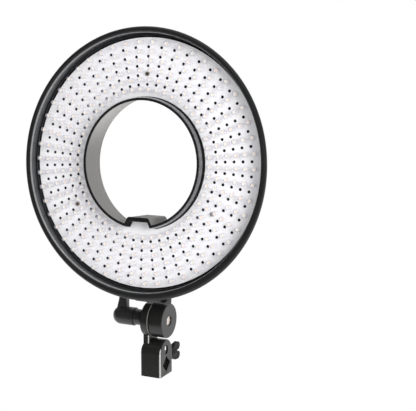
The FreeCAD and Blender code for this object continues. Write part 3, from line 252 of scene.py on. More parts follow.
@dataclass(frozen=True)
class Finish(BaseFinish):
    """The finish of a rigid piece, with fine relief, uneven gloss and handling marks.

    Its painted reflection makes it paler from one height to another, in metres, by a share of its colour,
    standing in for bright surroundings mirrored in it.
    """

    colour: Colour
    roughness: float
    grain: Grain
    metallic: float = 0.0
    specular: float = 0.5
    coat: float = 0.0
    tone: float = 0.2
    wear: float = 0.25
    painted_reflection: tuple[float, float, float] = (0.0, 1.0, 0.0)

    def relief(self, recipe: Recipe) -> tuple[Value, float]:
        """Give the grain's height and its depth.

        Args:
            recipe: The tree to add to.

        Returns:
            The height between 0 and 1, and what 1 stands for, in metres.
        """
        if self.grain is Grain.SPARKED:
            return recipe.cells(1500) * 0.6 + recipe.noise(2600, 2.0) * 0.5, 0.00006
        if self.grain is Grain.CAST:
            return recipe.noise(700, 3.0) * 0.7 + recipe.cells(420) * 0.4, 0.00012
        if self.grain is Grain.BRUSHED:
            return recipe.noise(900, 2.0, recipe.place(stretch=(1, 0.06, 1))), 0.00003
        if self.grain is Grain.FIBRE:
            return recipe.noise(1800, 4.0, recipe.place(stretch=(0.3, 1, 1))), 0.00010
        if self.grain is Grain.SATIN:
            return recipe.noise(1900, 3.0), 0.00004
        return recipe.noise(160, 2.0), 0.00006

    def sockets(self, recipe: Recipe) -> dict:
        """Give a colour that clouds and scuffs make uneven, paler with height where a painted reflection is
        set, and a roughness that scuffs and dust raise.

        Args:
            recipe: The tree to add to.

        Returns:
            What feeds each socket.
        """
        height, depth = self.relief(recipe)
        cloud = recipe.noise(35, 4.0)
        scuff = recipe.noise(260, 5.0, recipe.place(stretch=(1, 0.35, 0.8))).between(0.56, 0.74)
        dust = recipe.noise(90, 6.0).between(0.5, 0.8)
        dark = shade(self.colour, 1 - self.tone)
        pale = shade(self.colour, 1 + self.tone, 0.01 * self.tone)
        colour = recipe.blend(scuff * (self.wear * 0.35), recipe.blend(cloud, dark, pale),
                              shade(self.colour, 1.6, 0.02))
        # Painted reflection: paler towards the top, by height, in place of the surroundings mirrored in the
        # surface.
        low, high, gain = self.painted_reflection
        if gain > 0:
            upward = recipe.parts(recipe.place())[2]
            colour = recipe.blend(upward.between(low, high) ** 1.5, colour, shade(self.colour, 1 + gain))
        roughness = self.roughness + (cloud - 0.5) * 0.12
        roughness = roughness + scuff * (0.18 * self.wear) + dust * (0.12 * self.wear)
        return {"Base Color": colour, "Roughness": roughness, "Metallic": self.metallic,
                "Specular IOR Level": self.specular, "Coat Weight": self.coat, "Coat Roughness": 0.12,
                "Normal": recipe.bump(height, depth)}


@dataclass(frozen=True)
class BoardFinish(BaseFinish):
    """White solder mask with faint tracks between the rings of LEDs, and the weave of the board below."""

    colour: Colour
    centre: Point
    lean: float
    first_ring: float
    ring_pitch: float

    def sockets(self, recipe: Recipe) -> dict:
        """Give tracks that follow the distance from the ring's centre, the root of X squared plus Z squared.

        Args:
            recipe: The tree to add to.

        Returns:
            What feeds each socket.
        """
        across, _, upward = recipe.parts(recipe.place(self.centre, self.lean))
        radius = (across * across + upward * upward) ** 0.5
        track = ((radius - self.first_ring) * (1 / self.ring_pitch)).wave()
        copper = track.between(0.12, 0.2) * (1 - track.between(0.62, 0.7))
        weave = recipe.noise(1600, 2.0, recipe.place(self.centre, self.lean, (1, 1, 0.3)))
        cloud = recipe.noise(30, 5.0)
        mottle = recipe.noise(210, 4.0).between(0.35, 0.75)
        red, green, blue = self.colour
        colour = recipe.blend(cloud, shade(self.colour), (red, green * 0.99, blue * 0.955, 1))
        colour = recipe.blend(copper * 0.35 + mottle * 0.3, colour, shade(self.colour, 0.95))
        height = copper * 0.7 + weave * 0.15 + mottle * 0.15
        return {"Base Color": colour, "Roughness": 0.3 + mottle * 0.15 + weave * 0.08,
                "Specular IOR Level": 0.45, "Coat Weight": 0.15, "Coat Roughness": 0.2,
                "Normal": recipe.bump(height, 0.00005)}


@dataclass(frozen=True)
class LensFinish(BaseFinish):
    """Clear epoxy: see-through where it faces the eye and beside the board, denser at the dome's outline."""

    colour: Colour
    clearest: float
    densest: float
    centre: Point
    lean: float
    dome: float

    def sockets(self, recipe: Recipe) -> dict:
        """Give an alpha that rises towards the outline, and from the board to the dome.

        Args:
            recipe: The tree to add to.

        Returns:
            What feeds each socket.
        """
        edge = recipe.value("ShaderNodeLayerWeight", {}, {"Blend": 0.5}, "Facing")
        streak = recipe.noise(420, 3.0)
        height = 0 - recipe.parts(recipe.place(self.centre, self.lean))[1]
        body = 0.22 + 0.78 * height.between(self.dome * 0.3, self.dome * 0.75)
        density = self.clearest + (edge ** 1.7) * (self.densest - self.clearest)
        alpha = density * body + (streak - 0.5) * 0.04
        colour = recipe.blend(streak, shade(self.colour), shade(self.colour, 0.9))
        return {"Base Color": colour, "Roughness": 0.06 + streak * 0.05, "Specular IOR Level": 0.6,
                "Alpha": alpha, "Normal": recipe.bump(streak, 0.00002)}


@dataclass(frozen=True)
class PhosphorFinish(BaseFinish):
    """The yellow phosphor of the LED chips, from greenish to orange from one LED to the next."""

    green: Colour
    yellow: Colour
    orange: Colour
    speck: Colour = (0.9, 0.86, 0.7)

    def sockets(self, recipe: Recipe) -> dict:
        """Give a colour whose tint slow noise picks and fine noise grains.

        Args:
            recipe: The tree to add to.

        Returns:
            What feeds each socket.
        """
        tint = recipe.noise(65, 2.0)
        grain = recipe.noise(2400, 3.0)
        cool = recipe.blend(tint.between(0.32, 0.5), shade(self.green), shade(self.yellow))
        warm = recipe.blend(tint.between(0.5, 0.68), cool, shade(self.orange))
        return {"Base Color": recipe.blend(grain * 0.25, warm, shade(self.speck)),
                "Roughness": 0.35 + grain * 0.2, "Normal": recipe.bump(grain, 0.00003)}


# Shapes


@dataclass
class Shape:
    """A mesh under construction: vertices in millimetres, four-sided faces, and caps with more sides."""

    vertices: np.ndarray
    quads: np.ndarray
    caps: list[np.ndarray] = field(default_factory=list)

    def joined(self, other: "Shape") -> "Shape":
        """Put two shapes into one mesh.

        Args:
            other: The second shape.

        Returns:
            Both as one shape.
        """
        shift = len(self.vertices)
        vertices = np.vstack([self.vertices, other.vertices])
        quads = np.vstack([self.quads, other.quads + shift])
        return Shape(vertices, quads, self.caps + [cap + shift for cap in other.caps])

    def volume(self) -> float:
        """Signed volume: six times it is the sum of the triple products of the faces' fans.

        Returns:
            The volume, which is negative where the faces point inwards.
        """
        fans = [self.quads[:, [0, 1, 2]], self.quads[:, [0, 2, 3]]]
        fans += [np.stack([np.full(len(cap) - 2, cap[0]), cap[1:-1], cap[2:]], axis=1) for cap in self.caps]
        corners = self.vertices[np.vstack(fans)]
        return float(np.einsum("ij,ij->i", corners[:, 0], np.cross(corners[:, 1], corners[:, 2])).sum() / 6)

    def outward(self) -> "Shape":
        """Turn the faces so that they point out of the solid.

        Returns:
            The shape as it was, or with every face turned round.
        """
        if self.volume() < 0:
            return Shape(self.vertices, self.quads[:, ::-1], [cap[::-1] for cap in self.caps])
        return self

    def repeated(self, places: np.ndarray) -> "Shape":
        """Copy the shape to each place.

        Args:
            places: One offset in a row.

        Returns:
            All the copies as one shape.
        """
        vertices = (places[:, None, :] + self.vertices[None]).reshape(-1, 3)
        shifts = np.arange(len(places)) * len(self.vertices)
        quads = (shifts[:, None, None] + self.quads[None]).reshape(-1, 4)
        return Shape(vertices, quads, [cap + shift for cap in self.caps for shift in shifts])


def grid_faces(rows: int, columns: int, rows_close: bool) -> np.ndarray:
    """Number the quads of a grid whose columns close on themselves.

    Args:
        rows: How many rows of vertices there are.
        columns: How many vertices a row has.
        rows_close: Whether the last row joins the first.

    Returns:
        One quad in a row.
    """
    row = np.arange(rows if rows_close else rows - 1)[:, None] * columns
    after_row = (row + columns) % (rows * columns)
    column = np.arange(columns)[None, :]
    after = (column + 1) % columns
    corners = [row + column, row + after, after_row + after, after_row + column]
    return np.stack(corners, axis=-1).reshape(-1, 4)


def rounded(corners: "Sequence[Point] | np.ndarray", steps: int) -> np.ndarray:
    """Round the corners of a closed outline.

    Each corner (a, b, radius) becomes an arc that touches both of its sides: its centre lies on the corner's
    bisector, radius over the sine of half the corner's angle away.

    Args:
        corners: The corners in order.
        steps: How many pieces each arc has.

    Returns:
        The outline's points.
    """
    table = np.array(corners, dtype=float)
    point, radius = table[:, :2], table[:, 2]
    back = np.roll(point, 1, axis=0) - point
    ahead = np.roll(point, -1, axis=0) - point
    back /= np.linalg.norm(back, axis=1, keepdims=True)
    ahead /= np.linalg.norm(ahead, axis=1, keepdims=True)
    half = np.arccos(np.clip((back * ahead).sum(axis=1), -1, 1)) / 2
    start = point + back * (radius / np.tan(half))[:, None]
    bisector = back + ahead
    bisector /= np.linalg.norm(bisector, axis=1, keepdims=True)
    centre = point + bisector * (radius / np.sin(half))[:, None]
    side = np.sign(back[:, 1] * ahead[:, 0] - back[:, 0] * ahead[:, 1])
    angle = (side * (math.pi - 2 * half))[:, None] * np.linspace(0, 1, steps + 1)[None]
    arm = start - centre
    first = arm[:, :1] * np.cos(angle) - arm[:, 1:] * np.sin(angle) + centre[:, :1]
    second = arm[:, :1] * np.sin(angle) + arm[:, 1:] * np.cos(angle) + centre[:, 1:]
    return np.stack([first.ravel(), second.ravel()], axis=1)


def turned(profile: np.ndarray, segments: int, closed: bool,
           ripple: "Callable[[np.ndarray], np.ndarray] | None" = None) -> Shape:
    """Turn a profile of depth and radius about the Y axis.

    A point at angle a has x = radius * cos a, y = depth and z = radius * sin a.

    Args:
        profile: Depth and radius in each row.
        segments: How many steps a full turn has.
        closed: Whether the profile closes on itself. If not, flat caps close its ends.
        ripple: Gives a change of radius for each angle, as a share of it, for flutes in the widest rows.

    Returns:
        The solid, with its axis through the origin.
    """
    angle = np.linspace(0, math.tau, segments, endpoint=False)
    depth, radius = profile[:, :1], profile[:, 1:]
    if ripple is not None:
        radius = radius * (1 + ripple(angle)[None] * (radius > 0.7 * radius.max()))
    grid = np.stack([radius * np.cos(angle), depth + 0 * angle, radius * np.sin(angle)], axis=-1)
    ends = [] if closed else [np.arange(segments)[::-1], (len(profile) - 1) * segments + np.arange(segments)]
    return Shape(grid.reshape(-1, 3), grid_faces(len(profile), segments, closed), ends).outward()


def prism(outline: np.ndarray, near: float, far: float) -> Shape:
    """Raise a flat outline into a solid whose sides run straight from one depth to another.

    Args:
        outline: X and Z of its corners in order.
        near: The depth of one end.
        far: The depth of the other.

    Returns:
        The solid.
    """
    here = np.arange(len(outline))
    after = (here + 1) % len(outline)
    ends = np.vstack([np.insert(outline, 1, depth, axis=1) for depth in (near, far)])
    sides = np.stack([here, after, after + len(outline), here + len(outline)], axis=1)
    return Shape(ends, sides, [here[::-1], here + len(outline)]).outward()


def cross_outline(reach: float, width: float) -> np.ndarray:
    """Outline an upright cross: the three corners of one arm, turned by quarters of a turn.

    Args:
        reach: How far its arms reach.
        width: How wide they are.

    Returns:
        X and Z of its corners.
    """
    half = width / 2
    arm = np.array([(half, half), (half, reach), (-half, reach)])
    quarter = np.array([(0, -1), (1, 0)])
    return np.vstack([arm @ np.linalg.matrix_power(quarter, turn).T for turn in range(4)])


def on_circle(radius: "float | np.ndarray", degrees: "Sequence[float] | np.ndarray") -> np.ndarray:
    """Places on circles about the ring's axis, one in a row: radius * cos and radius * sin of the angle."""
    angle = np.radians(degrees)
    return np.stack([radius * np.cos(angle), 0 * angle, radius * np.sin(angle)], axis=1)


def in_scene(name: str, data: bpy.types.ID) -> bpy.types.Object:
    """Make an object from its data and put it in the scene."""
    item = bpy.data.objects.new(name, data)
    bpy.context.scene.collection.objects.link(item)
    return item


@dataclass(frozen=True)
class HighlightEdge:
    """A stretch of edge that takes a painted highlight: a pale finish on the faces that look towards the
    light.

    It is a box in millimetres, the way that the highlighted faces look, the width of a chamfer for its edges
    or 0, how many degrees a face may look aside, and the number of the finish that the faces take.
    """

    low: Point
    high: Point
    facing: Point
    chamfer: float = 0.0
    spread: float = 25.0
    tone: int = 1

    def holds(self, point: Vector) -> bool:
        """Whether a point in metres is inside the box."""
        return all(low <= part / MM <= high for low, part, high in zip(self.low, point, self.high))

    def wear(self, work: bmesh.types.BMesh) -> None:
        """Chamfer the convex edges inside the box, and give its faces that look the given way the pale finish
        of the painted highlight.

        Args:
            work: The solid being worked on.
        """
        if self.chamfer > 0:
            edges = [edge for edge in work.edges if edge.is_manifold and edge.is_convex
                     and edge.calc_face_angle(0) > SHARP and all(self.holds(end.co) for end in edge.verts)]
            width = self.chamfer * MM
            bmesh.ops.bevel(work, geom=edges, offset=width, segments=1, affect="EDGES", profile=0.5)
        work.normal_update()
        way = Vector(self.facing).normalized()
        limit = math.radians(self.spread)
        # The faces that look towards the light take the painted highlight.
        for face in work.faces:
            if self.holds(face.calc_center_median()) and face.normal.angle(way, 4) < limit:
                face.material_index = self.tone


# The ring's own frame and its driving sizes


@dataclass(frozen=True)
class RingSizes:
    """Driving sizes of the ring in millimetres, and where its own frame stands in the light.

    In the ring's frame the centre is the origin, the board's front is at depth 0, and depth runs away from
    the viewer along Y.
    """

    tilt: float = 5.42
    axis_height: float = 76.5
    axis_depth: float = 48.3
    axis_below: float = 212.4
    rim_radius: float = 175.0
    bead_radius: float = 4.0
    bead_depth: float = 13.2
    rim_draft: float = 6.1
    rim_wall: float = 2.2
    parting_depth: float = 2.0
    shell_depth: float = 37.0
    tube_radius: float = 81.3
    tube_flare: float = 7.9
    tube_front: float = 12.5
    tube_wall: float = 1.8
    fit_gap: float = 0.2
    lip_overhang: float = 0.4
    lip_width: float = 3.3
    lip_thickness: float = 2.0
    skirt_wall: float = 1.1
    channel_rise: float = 11.8
    channel_width: float = 30.0
    channel_slope: float = 0.5
    channel_corner: float = 4.4
    least_corner: float = 0.4
    led_inner: float = 95.8
    led_pitch: float = 12.04
    led_rings: int = 6
    leds_per_ring: int = 50
    led_radius: float = 3.4
    led_height: float = 12.4
    dot_inner: float = 101.8
    dot_radius: float = 1.97

    flat_points: int = 6
    shoulder_points: int = 10
    side_points: int = 6
    arc_points: int = 149
    arc_crowding: float = 1.15

    def keyed_columns(self) -> int:
        """How many points an outline of the hole has: two halves that share their first and last points."""
        return 2 * (self.flat_points + self.shoulder_points + self.side_points + self.arc_points - 1)

    def flare(self) -> float:
        """How much the centre tube's radius grows for each millimetre of depth."""
        return self.tube_flare / (self.shell_depth + self.tube_front)

    def placed(self, shape: Shape) -> Shape:
        """Move a shape from the ring's frame to the light's.

        The shape is moved so that the tilt joint's axis is the X axis, leaned back by the tilt, and lifted to
        the joint.

        Args:
            shape: The shape in the ring's frame.

        Returns:
            The shape in the light's frame.
        """
        angle = -math.radians(self.tilt)
        x, y, z = shape.vertices.T
        y = y - self.axis_depth
        z = z + self.axis_below
        leaned = [x, y * math.cos(angle) - z * math.sin(angle),
                  y * math.sin(angle) + z * math.cos(angle) + self.axis_height]
        return Shape(np.stack(leaned, axis=1), shape.quads, shape.caps)

    def centre(self) -> Point:
        """The ring's centre in the light, in metres."""
        point = self.placed(Shape(np.zeros((1, 3)), np.zeros((0, 4), int))).vertices[0] * MM
        return tuple(float(part) for part in point)

    def keyed_outline(self, radius: np.ndarray, inset: np.ndarray, drop: np.ndarray) -> np.ndarray:
        """Give outlines of the hole: circles with the cable channel cut into their bottom.

        From the middle of the channel's flat top the outline runs to a round shoulder, which is an arc from
        straight up to the side's normal, down the sloping side to where that meets the circle, and along the
        circle to the top of the ring. The other half is its mirror image.

        Args:
            radius: The circle's radius in each row.
            inset: How far the channel's outline is moved into the channel in each row.
            drop: How much further its flat top is moved down in each row.

        Returns:
            An array of rows by points by X and Z.
        """
        radius, inset, drop = radius[:, None], inset[:, None], drop[:, None]
        slope = self.channel_slope
        side = math.hypot(1, slope)
        top = -(self.tube_radius - self.channel_rise) - inset - drop
        half_top = self.channel_width / 2 - inset * side + slope * (inset + drop)
        corner = np.maximum(self.channel_corner - inset, self.least_corner)
        tangent = corner * (side - slope)
        flat = np.linspace(0, 1, self.flat_points, endpoint=False)[None] * (half_top - tangent)
        shoulder = np.linspace(math.pi / 2, math.atan(slope), self.shoulder_points)[None]
        linear = 2 * (slope * half_top - top)
        constant = half_top ** 2 + top ** 2 - radius ** 2
        reach = (-linear + np.sqrt(linear ** 2 - 4 * side ** 2 * constant)) / (2 * side ** 2)
        start = tangent / side
        fall = start + np.linspace(0, 1, self.side_points + 1)[None, 1:] * (reach - start)
        foot = np.arctan2(top - reach, half_top + slope * reach)
        share = np.linspace(0, 1, self.arc_points + 1)[None, 1:] ** self.arc_crowding
        sweep = foot + share * (math.pi / 2 - foot)
        across = np.hstack([flat, half_top - tangent + corner * np.cos(shoulder), half_top + slope * fall,
                            radius * np.cos(sweep)])
        upward = np.hstack([top + 0 * flat, top - corner + corner * np.sin(shoulder), top - fall,
                            radius * np.sin(sweep)])
        half = np.stack([across, upward], axis=-1)
        return np.concatenate([half, half[:, -2:0:-1] * np.array([-1, 1])], axis=1)

    def keyed_ring(self, profile: np.ndarray, front_radius: float, flare: float, deepest_inset: float,
                   first_inset: float, lip_drop: float = 0.0) -> Shape:
        """Carry a closed profile round the hole and its channel.

        Args:
            profile: Depth, and distance out from the ring's inner surface.
            front_radius: The inner surface's radius at the tube's front.
            flare: How much that radius grows for each millimetre of depth.
            deepest_inset: The most that the profile may fold into the channel.
            first_inset: The inset of the inner surface in the channel.
            lip_drop: How much further the outer surface is moved down from the channel's flat top.

        Returns:
            The ring.
        """
        depth, out = profile[:, 0], profile[:, 1]
        radius = front_radius + flare * (depth + self.tube_front) + out
        drop = lip_drop * np.clip(out / self.lip_width, 0, 1)
        outline = self.keyed_outline(radius, np.minimum(first_inset + out, deepest_inset), drop)
        across, upward = outline[..., 0], outline[..., 1]
        grid = np.stack([across, depth[:, None] + 0 * across, upward], axis=-1)
        return Shape(grid.reshape(-1, 3), grid_faces(*across.shape, True)).outward()


RING = RingSizes()

RIM = Finish("Rim plastic", "rim_plastic", (0.010, 0.010, 0.0105), 0.3, Grain.SATIN, specular=0.42)
# Painted highlight: a pale finish on the rim's inner shoulder, standing in for the light that catches it.
RIM_SHOULDER_HIGHLIGHT = Finish("Rim shoulder painted highlight", "rim_plastic", (0.20, 0.20, 0.20), 0.24, Grain.POLISHED)
# Painted reflection: the rim's inner wall is paler than the rim, standing in for the board mirrored in it.
RIM_WALL_REFLECTION = Finish("Rim wall painted reflection", "rim_plastic", (0.043, 0.045, 0.048), 0.2, Grain.POLISHED)
HOUSING = Finish("Housing plastic", "shell_plastic", (0.011, 0.011, 0.012), 0.45, Grain.SPARKED)
# The tube turns paler towards the top: a painted reflection of the white surroundings.
TUBE = Finish("Tube plastic", "tube_plastic", (0.157, 0.153, 0.149), 0.5, Grain.SATIN, specular=0.35,
              tone=0.06, painted_reflection=(0.292, 0.37, 2.0))
TRIM = Finish("Trim plastic", "trim_plastic", (0.007, 0.007, 0.0075), 0.26, Grain.POLISHED, specular=0.3)
# Painted reflection: the skirt's cone wall is paler, standing in for the bright surroundings mirrored in it.
TRIM_WALL_REFLECTION = Finish("Trim wall painted reflection", "trim_plastic", (0.08, 0.081, 0.086), 0.16, Grain.POLISHED, coat=0.5)
# Painted shade: a near-black, dull band in the skirt's groove and on the channel's wall, where shade falls.
TRIM_GROOVE_SHADE = Finish("Trim groove painted shade", "trim_plastic", (0.004, 0.004, 0.004), 0.6, Grain.SATIN, specular=0.08)
CAST = Finish("Painted casting", "cast_bracket", (0.009, 0.009, 0.0085), 0.34, Grain.CAST, specular=0.45,
              wear=0.5, coat=0.2)
# Painted highlights: pale finishes on casting edges that look towards the light.
EDGE_HIGHLIGHT = Finish("Casting edge painted highlight", "cast_bracket", (0.36, 0.36, 0.355), 0.32, Grain.CAST, wear=0.5)
# A dimmer painted highlight, for the disc's edge.
DIM_EDGE_HIGHLIGHT = Finish("Casting edge dim painted highlight", "cast_bracket", (0.11, 0.11, 0.108), 0.36, Grain.CAST,
                specular=0.45, wear=0.3)
HANDLE = Finish("Handle plastic", "handle_plastic", (0.014, 0.014, 0.0145), 0.38, Grain.SPARKED, coat=0.4)
WING = Finish("Wing plastic", "handle_plastic", (0.008, 0.008, 0.0085), 0.5, Grain.SPARKED, specular=0.12)
PLATE = Finish("Painted plate", "plate_steel", (0.10, 0.10, 0.103), 0.45, Grain.CAST, specular=0.4, wear=0.5)
CONTROL = Finish("Control plastic", "control_plastic", (0.014, 0.014, 0.015), 0.4, Grain.SATIN, specular=0.35)
POINTER = Finish("Pointer paint", "control_plastic", (0.72, 0.72, 0.70), 0.5, Grain.SATIN, specular=0.3,
                 tone=0.05)
BLACK_STEEL = Finish("Black screws", "black_screws", (0.02, 0.02, 0.021), 0.36, Grain.BRUSHED, 0.6, wear=0.6)
ZINC = Finish("Zinc-plated steel", "zinc_steel", (0.66, 0.63, 0.60), 0.3, Grain.BRUSHED, 1.0, wear=0.5)
BOLT = Finish("Turned bolt head", "zinc_steel", (0.78, 0.69, 0.64), 0.34, Grain.BRUSHED, 0.85, wear=0.5)
BRASS = Finish("Turned brass", "brass", (0.60, 0.42, 0.17), 0.3, Grain.BRUSHED, 1.0)
ALUMINIUM = Finish("Rolled aluminium", "bare_aluminium", (0.72, 0.73, 0.74), 0.38, Grain.BRUSHED, 1.0)
CIRCUIT = Finish("Green solder mask", "circuit_board", (0.03, 0.16, 0.07), 0.35, Grain.SATIN, coat=0.2)
COMPONENT = Finish("Component sleeve", "component_black", (0.025, 0.025, 0.03), 0.4, Grain.SATIN)
WASHER = Finish("Washer fibre", "washer_fibre", (0.07, 0.065, 0.06), 0.8, Grain.FIBRE, specular=0.2)
CUP = Finish("Reflector cup", "led_epoxy", (0.86, 0.84, 0.87), 0.35, Grain.POLISHED, tone=0.05)
SCREW = Finish("Board screws", "zinc_steel", (0.42, 0.36, 0.31), 0.38, Grain.BRUSHED, 0.9, wear=0.5)
# Painted shade: dark crosses and hexagons stand in for the shade inside the screw recesses.
RECESS_SHADE = Finish("Recess painted shade", "black_screws", (0.004, 0.004, 0.004), 0.8, Grain.SATIN, specular=0.1)
# Painted shade: dark discs stand in for the shade inside the board's vent holes.
VENT_SHADE = Finish("Vent hole painted shade", "board_mask", (0.003, 0.003, 0.004), 0.7, Grain.SATIN, specular=0.1)
BOARD = BoardFinish("White solder mask", "board_mask", (0.945, 0.94, 0.97), RING.centre(),
                    math.radians(RING.tilt), RING.led_inner * MM, RING.led_pitch * MM)
LENS = LensFinish("Clear epoxy", "led_epoxy", (0.62, 0.60, 0.70), 0.10, 0.92, RING.centre(),
                  math.radians(RING.tilt), RING.led_height * MM)
PHOSPHOR = PhosphorFinish("Phosphor", "led_epoxy", (0.82, 0.82, 0.67), (0.90, 0.82, 0.64), (0.89, 0.69, 0.52))


# Sub-assemblies


class Palette:
    """Makes each finish once and hands it out."""

    def __init__(self) -> None:
        """Start with no material."""
        self.made: dict[str, bpy.types.Material] = {}

    def __getitem__(self, finish: BaseFinish) -> bpy.types.Material:
        """Give a finish's material, which is made when it is first asked for.

        Args:
            finish: The finish.

        Returns:
            Its material.
        """
        if finish.name not in self.made:
            self.made[finish.name] = finish.make()
        return self.made[finish.name]


@dataclass
class Assembly:
    """A sub-assembly: it gives its pieces their finishes and bodies, and says what they stand for."""

    palette: Palette

    def keep(self, name: str, mesh: bpy.types.Mesh, body: str, slot: str, *nodes: str) -> bpy.types.Object:
        """Make a piece of a mesh, smooth but for its sharp edges, and say what it belongs to.

        Args:
            name: The piece's name.
            mesh: Its mesh.
            body: The body it moves with.
            slot: The record's material slot; not used.
            nodes: The solids that it replaces.

        Returns:
            The piece.
        """
        mesh.shade_smooth()
        mesh.set_sharp_from_angle(angle=SHARP)
        piece = in_scene(name, mesh)
        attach(piece, body)
        if nodes:
            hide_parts(*nodes)
        log.info("%s on %s, %d faces", piece.name, body, len(piece.data.polygons))
        return piece

    def add(self, name: str, shape: Shape, finish: BaseFinish, body: str, *nodes: str) -> bpy.types.Object:
        """Make a piece from a shape in the ring's frame.

        Args:
            name: The piece's name.
            shape: Its shape.
            finish: Its finish.
            body: The body it moves with.
            nodes: The solids that it replaces.

        Returns:
            The piece.
        """
        mesh = bpy.data.meshes.new(name)
        faces = shape.quads.tolist() + [cap.tolist() for cap in shape.caps]
        mesh.from_pydata((RING.placed(shape).vertices * MM).tolist(), [], faces)
        mesh.materials.append(self.palette[finish])
        return self.keep(name, mesh, body, finish.slot, *nodes)

    def paint(self, piece: bpy.types.Object, finish: Finish, columns: int, rows: tuple[int, int],
              middle: int | None = None) -> None:
        """Give some rows of a ring's faces another finish.

        Args:
            piece: The ring, made row by row of its profile.
            finish: The other finish.
            columns: How many faces a row has.
            rows: The first row, and the row after the last one.
            middle: How many faces to each side of the ring's first point take it, where not all do.
        """
        piece.data.materials.append(self.palette[finish])
        row, column = np.divmod(np.arange(len(piece.data.polygons)), columns)
        chosen = (row >= rows[0]) & (row < rows[1])
        if middle is not None:
            chosen &= (column < middle) | (column >= columns - middle)
        index = np.zeros(len(row), dtype=np.int32)
        piece.data.polygons.foreach_get("material_index", index)
        index[chosen] = len(piece.data.materials) - 1
        piece.data.polygons.foreach_set("material_index", index)

    def soften(self, node: str, name: str, body: str, finish: Finish, bevel: float, *highlight_edges: HighlightEdge) -> None:
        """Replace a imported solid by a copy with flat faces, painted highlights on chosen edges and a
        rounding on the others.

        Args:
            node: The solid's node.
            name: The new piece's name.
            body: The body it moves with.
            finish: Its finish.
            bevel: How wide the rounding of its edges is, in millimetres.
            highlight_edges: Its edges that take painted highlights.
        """
        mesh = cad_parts[node].data.copy()
        mesh.name = name
        mesh.materials.clear()
        for kind in (finish, EDGE_HIGHLIGHT, DIM_EDGE_HIGHLIGHT) if highlight_edges else (finish,):
            mesh.materials.append(self.palette[kind])
        work = bmesh.new()
        work.from_mesh(mesh)
        bmesh.ops.remove_doubles(work, verts=work.verts, dist=MERGED * MM)
        bmesh.ops.dissolve_limit(work, angle_limit=FLAT, verts=work.verts, edges=work.edges)
        for stretch in highlight_edges:
            stretch.wear(work)
        work.to_mesh(mesh)
        work.free()
        rounding = self.keep(name, mesh, body, finish.slot, node).modifiers.new("Softened edges", "BEVEL")
        rounding.width = bevel * MM
        rounding.segments = 2
        rounding.limit_method = "ANGLE"
        rounding.angle_limit = SHARP
        rounding.harden_normals = True

    def dress(self, finish: BaseFinish, *nodes: str) -> None:
        """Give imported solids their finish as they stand.

        Args:
            finish: The finish.
            nodes: The solids' nodes.
        """
        for node in nodes:
            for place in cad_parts[node].material_slots:
                place.link = "OBJECT"
                place.material = self.palette[finish]
            log.info("%s as packed, in %s", node, finish.name)


@dataclass
class Rim(Assembly):
    """The black bezel: a rounded bead whose inner shoulder is painted paler as a highlight, and a thin wall
    beside the board painted paler as a reflection.
    """

    segments: int = 320
    arc_steps: int = 6
    edge: float = 0.35
    fold_round: float = 0.2
    foot_round: float = 0.3
    bead_outer: float = 0.98
    bead_inner: float = 0.94
    bead_bulge: float = 1.6
    bead_inside: float = 1.0
    shoulder_rows: tuple[int, int] = (18, 21)
    wall_rows: tuple[int, int] = (21, 28)
    wall_start: float = 1.2
    wall_foot: float = -1.0
    wall_draft: float = 0.5
    inner_wall: float = 1.1
    swell: float = 2.8
    swell_middle: float = 292.0
    swell_reach: float = 72.0
    swell_power: float = 1.2
    swell_ramp: float = 0.6

    def swollen(self, ring: Shape) -> Shape:
        """Thicken the bead at its lower right, as the photographed outline has it.

        The outer wall moves out by the swell times a power of a cosine, which is one in the middle of its
        reach and nothing at its ends, and less the nearer a point is to the bead's middle line.

        Args:
            ring: The even ring.

        Returns:
            The ring with its swell.
        """
        x, depth, z = ring.vertices.T
        radius = np.hypot(x, z)
        away = np.abs((np.degrees(np.arctan2(z, x)) - self.swell_middle + 180) % 360 - 180)
        bump = np.cos(np.minimum(away / self.swell_reach, 1) * math.pi / 2) ** self.swell_power
        middle = RING.rim_radius - RING.bead_radius
        outer = np.clip((radius - middle) / (self.swell_ramp * RING.bead_radius), 0, 1)
        stretch = 1 + self.swell * bump * outer / radius
        return Shape(np.stack([x * stretch, depth, z * stretch], axis=1), ring.quads, ring.caps)

    def profile(self) -> np.ndarray:
        """Round the corners of the bezel's wall: a half-round bead between two drafted walls.

        Returns:
            Depth and radius of its points.
        """
        outer, bead, wall = RING.rim_radius, RING.bead_radius, RING.rim_wall
        crest, front = -RING.bead_depth, -RING.bead_depth - bead
        inner = outer - 2 * bead
        parting = outer - RING.rim_draft
        return rounded([
            (RING.parting_depth, parting, self.edge),
            (front, outer + self.bead_bulge, bead * self.bead_outer),
            (front, inner, bead * self.bead_inner),
            (crest + self.wall_start, inner, self.fold_round),
            (self.wall_foot, inner - self.wall_draft, self.foot_round),
            (self.wall_foot, inner - self.wall_draft + self.inner_wall, self.foot_round),
            (crest, inner + self.inner_wall, self.edge),
            (front + wall, outer - bead, self.bead_inside),
            (crest, outer - wall, self.edge),
            (RING.parting_depth, parting - wall, self.edge),
        ], self.arc_steps)

    def build(self) -> None:
        """Make the rim and soften the housing behind it."""
        ring = self.swollen(turned(self.profile(), self.segments, True))
        rim = self.add("Front_rim", ring, RIM, "head", "front_rim")
        # The inner shoulder takes a painted highlight, and the inner wall a painted reflection.
        self.paint(rim, RIM_SHOULDER_HIGHLIGHT, self.segments, self.shoulder_rows)
        self.paint(rim, RIM_WALL_REFLECTION, self.segments, self.wall_rows)
        self.soften("rear_shell", "Rear_housing", "head", HOUSING, 0.5)


